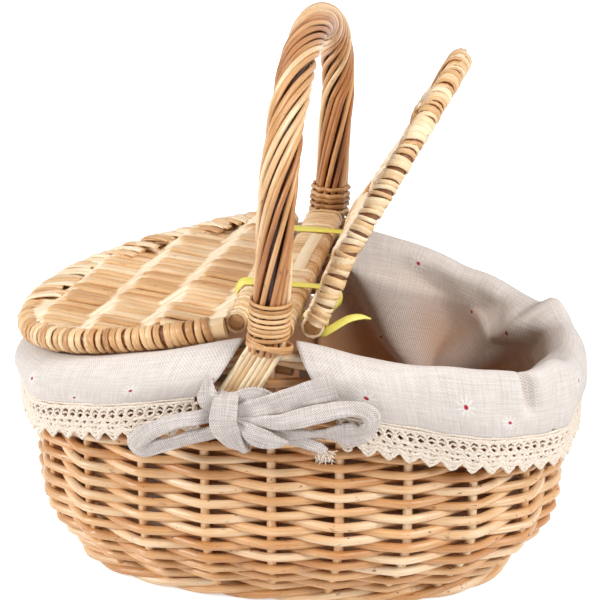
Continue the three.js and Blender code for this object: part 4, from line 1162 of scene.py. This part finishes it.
# Bows: soft flat ties, each band laid along its own line with its half width. The back one is the front one
# turned round.
bow = {"thick": 1.35, "uneven": 0.25, "crumple": 0.5, "ripple": 1.5, "knot": (107.5, 114), "bands": {
    "loop_left": [
        (-16, -107, 118.5, 3.2), (-24, -107.5, 118, 3.4), (-37, -110, 116.3, 3.6),
        (-49.9, -109.5, 111.4, 3.9), (-60.1, -107, 104.8, 4.6), (-65.7, -104, 97.8, 5),
        (-61.5, -104, 95.6, 4.8), (-50.8, -106, 99.8, 4), (-37.6, -108, 105, 3.7), (-24, -108.5, 110.2, 3.5),
        (-16, -108, 113, 3.2),
    ],
    "strap_left": [
        (-28.2, -105.6, 136.5, 1.6), (-27.8, -106.8, 131, 4), (-27, -107.3, 125.5, 6.4),
        (-22.5, -107.3, 120.5, 5),
    ],
    "strap_right": [
        (-16.8, -108.5, 118.9, 4.2), (-6.5, -109.8, 122.7, 5), (5.2, -109.8, 126.9, 5.4),
        (17.6, -108.8, 131.3, 5.8), (28, -107.8, 134.6, 6.6), (34, -106.5, 136, 7),
    ],
    "fold_behind": [
        (-16.2, -106, 123.8, 3), (-11.8, -107, 128.2, 3.4), (-5, -107.2, 130.4, 3.6),
        (0.7, -106.5, 128.9, 3.4), (3.8, -105.5, 124.5, 3),
    ],
    "loop_right": [
        (-16.8, -109, 115.7, 2.4), (-2.8, -111.5, 117.7, 2.8), (8.2, -112.8, 118.8, 4),
        (20.8, -113.4, 122.6, 4.8), (34.8, -113.4, 126.9, 4.2), (46, -111.5, 127.6, 3.6),
        (51.6, -108.5, 122, 5), (49, -106.3, 115, 6.6), (42, -105.6, 112, 7.8), (33, -105.8, 111.6, 7.2),
        (23.3, -106.2, 111, 5.8), (11.6, -107, 110.6, 4.4), (-2, -107.4, 112.5, 3),
    ],
    "tail_front": [
        (-15.7, -110, 116.2, 1.6), (-9.4, -112.7, 114, 3.8), (-2.5, -113.8, 110.6, 5.4),
        (4.1, -113.2, 108.4, 4.4), (12, -112, 108.2, 0.8),
    ],
    "tail_back": [
        (8, -106.6, 107.5, 3), (17, -107, 106.5, 3), (24.5, -107.3, 104.6, 2.8), (29.5, -107, 102, 2.2),
    ],
    "wrap": [
        (-15.5, -102.5, 114, 5), (-16.6, -102.8, 123, 5), (-17.4, -105.2, 128.6, 5.4),
        (-18.4, -110, 127.2, 6.2), (-19, -113.4, 122.4, 6.7), (-18.8, -114.2, 115.7, 6.9),
        (-16.6, -112.8, 108.6, 6.3), (-13, -109, 102.8, 5), (-11.8, -105, 100.4, 4.2),
        (-13, -102.6, 105, 4.6), (-15.5, -102.2, 112, 5),
    ],
}}
bowNodes = {band: band for band in ("loop_left", "loop_right", "strap_left", "strap_right")}
bowNodes["wrap"] = "knot"


def bandFacing(path, band):
    middle = sum(path, Vector()) / len(path)
    if band == "wrap":
        return [Vector((0, p.y + bow["knot"][0], 0.4 * (p.z - bow["knot"][1]))) for p in path]
    tilt = 0.9 if "loop" in band else 0.2
    return [Vector((0, -1, 0)) + (p - middle).normalized() * tilt for p in path]


# Loose threads at the cut end of the lower tail
fray = {"threads": 60, "radius": 0.2, "from": (28.6, -107.4, 101.6), "spread": (2.8, 0.9, 1.5),
        "curl": 0.45, "step": 0.8, "points": 7}


def frayedEnd(end, turned):
    bm = newShape()
    for _ in range(fray["threads"]):
        p = Vector(fray["from"]) + Vector([s * vary(-1, 1) for s in fray["spread"]])
        run = Vector((vary(-0.5, 1), vary(-0.35, 0.1), vary(-0.9, 0.3))).normalized()
        path = []
        for i in range(fray["points"]):
            path.append(p.copy())
            run = (run + fray["curl"] * noise.noise_vector(p * 0.7 + Vector((0, 0, i)))).normalized()
            p += run * fray["step"]
        rod(bm, path, fray["radius"], sides=5, tone=0.5)
    return makePiece(end + "_tied_fray", bm, laceCotton, [], turned=turned)


for end, turned in ends.items():
    for band, marks in bow["bands"].items():
        bm = newShape()
        count = 10 * (len(marks) - 1)
        path = []
        half = []
        for i in range(count + 1):
            x, y, z, wide = through(marks, i / count)
            p = Vector((x, y, z))
            path.append(p + bow["crumple"] * noise.noise_vector(p / 9))
            soft = noise.noise(Vector((i / 6, len(marks), 0)))
            half.append((wide, bow["thick"] * (1 + bow["uneven"] * soft)))
        sweep(bm, path, half, 24, False, bandFacing(path, band), flat=0.7, ripple=bow["ripple"])
        nodes = ["%s_bow_%s" % (end, bowNodes[band])] if band in bowNodes else []
        piece = makePiece("%s_tied_%s" % (end, band), bm, bowLinen, nodes, turned=turned)
        length = sum((b - a).length for a, b in zip(path, path[1:])) / 1000
        loose = [frayedEnd(end, turned)] if band == "tail_back" else []
print("bows tied")
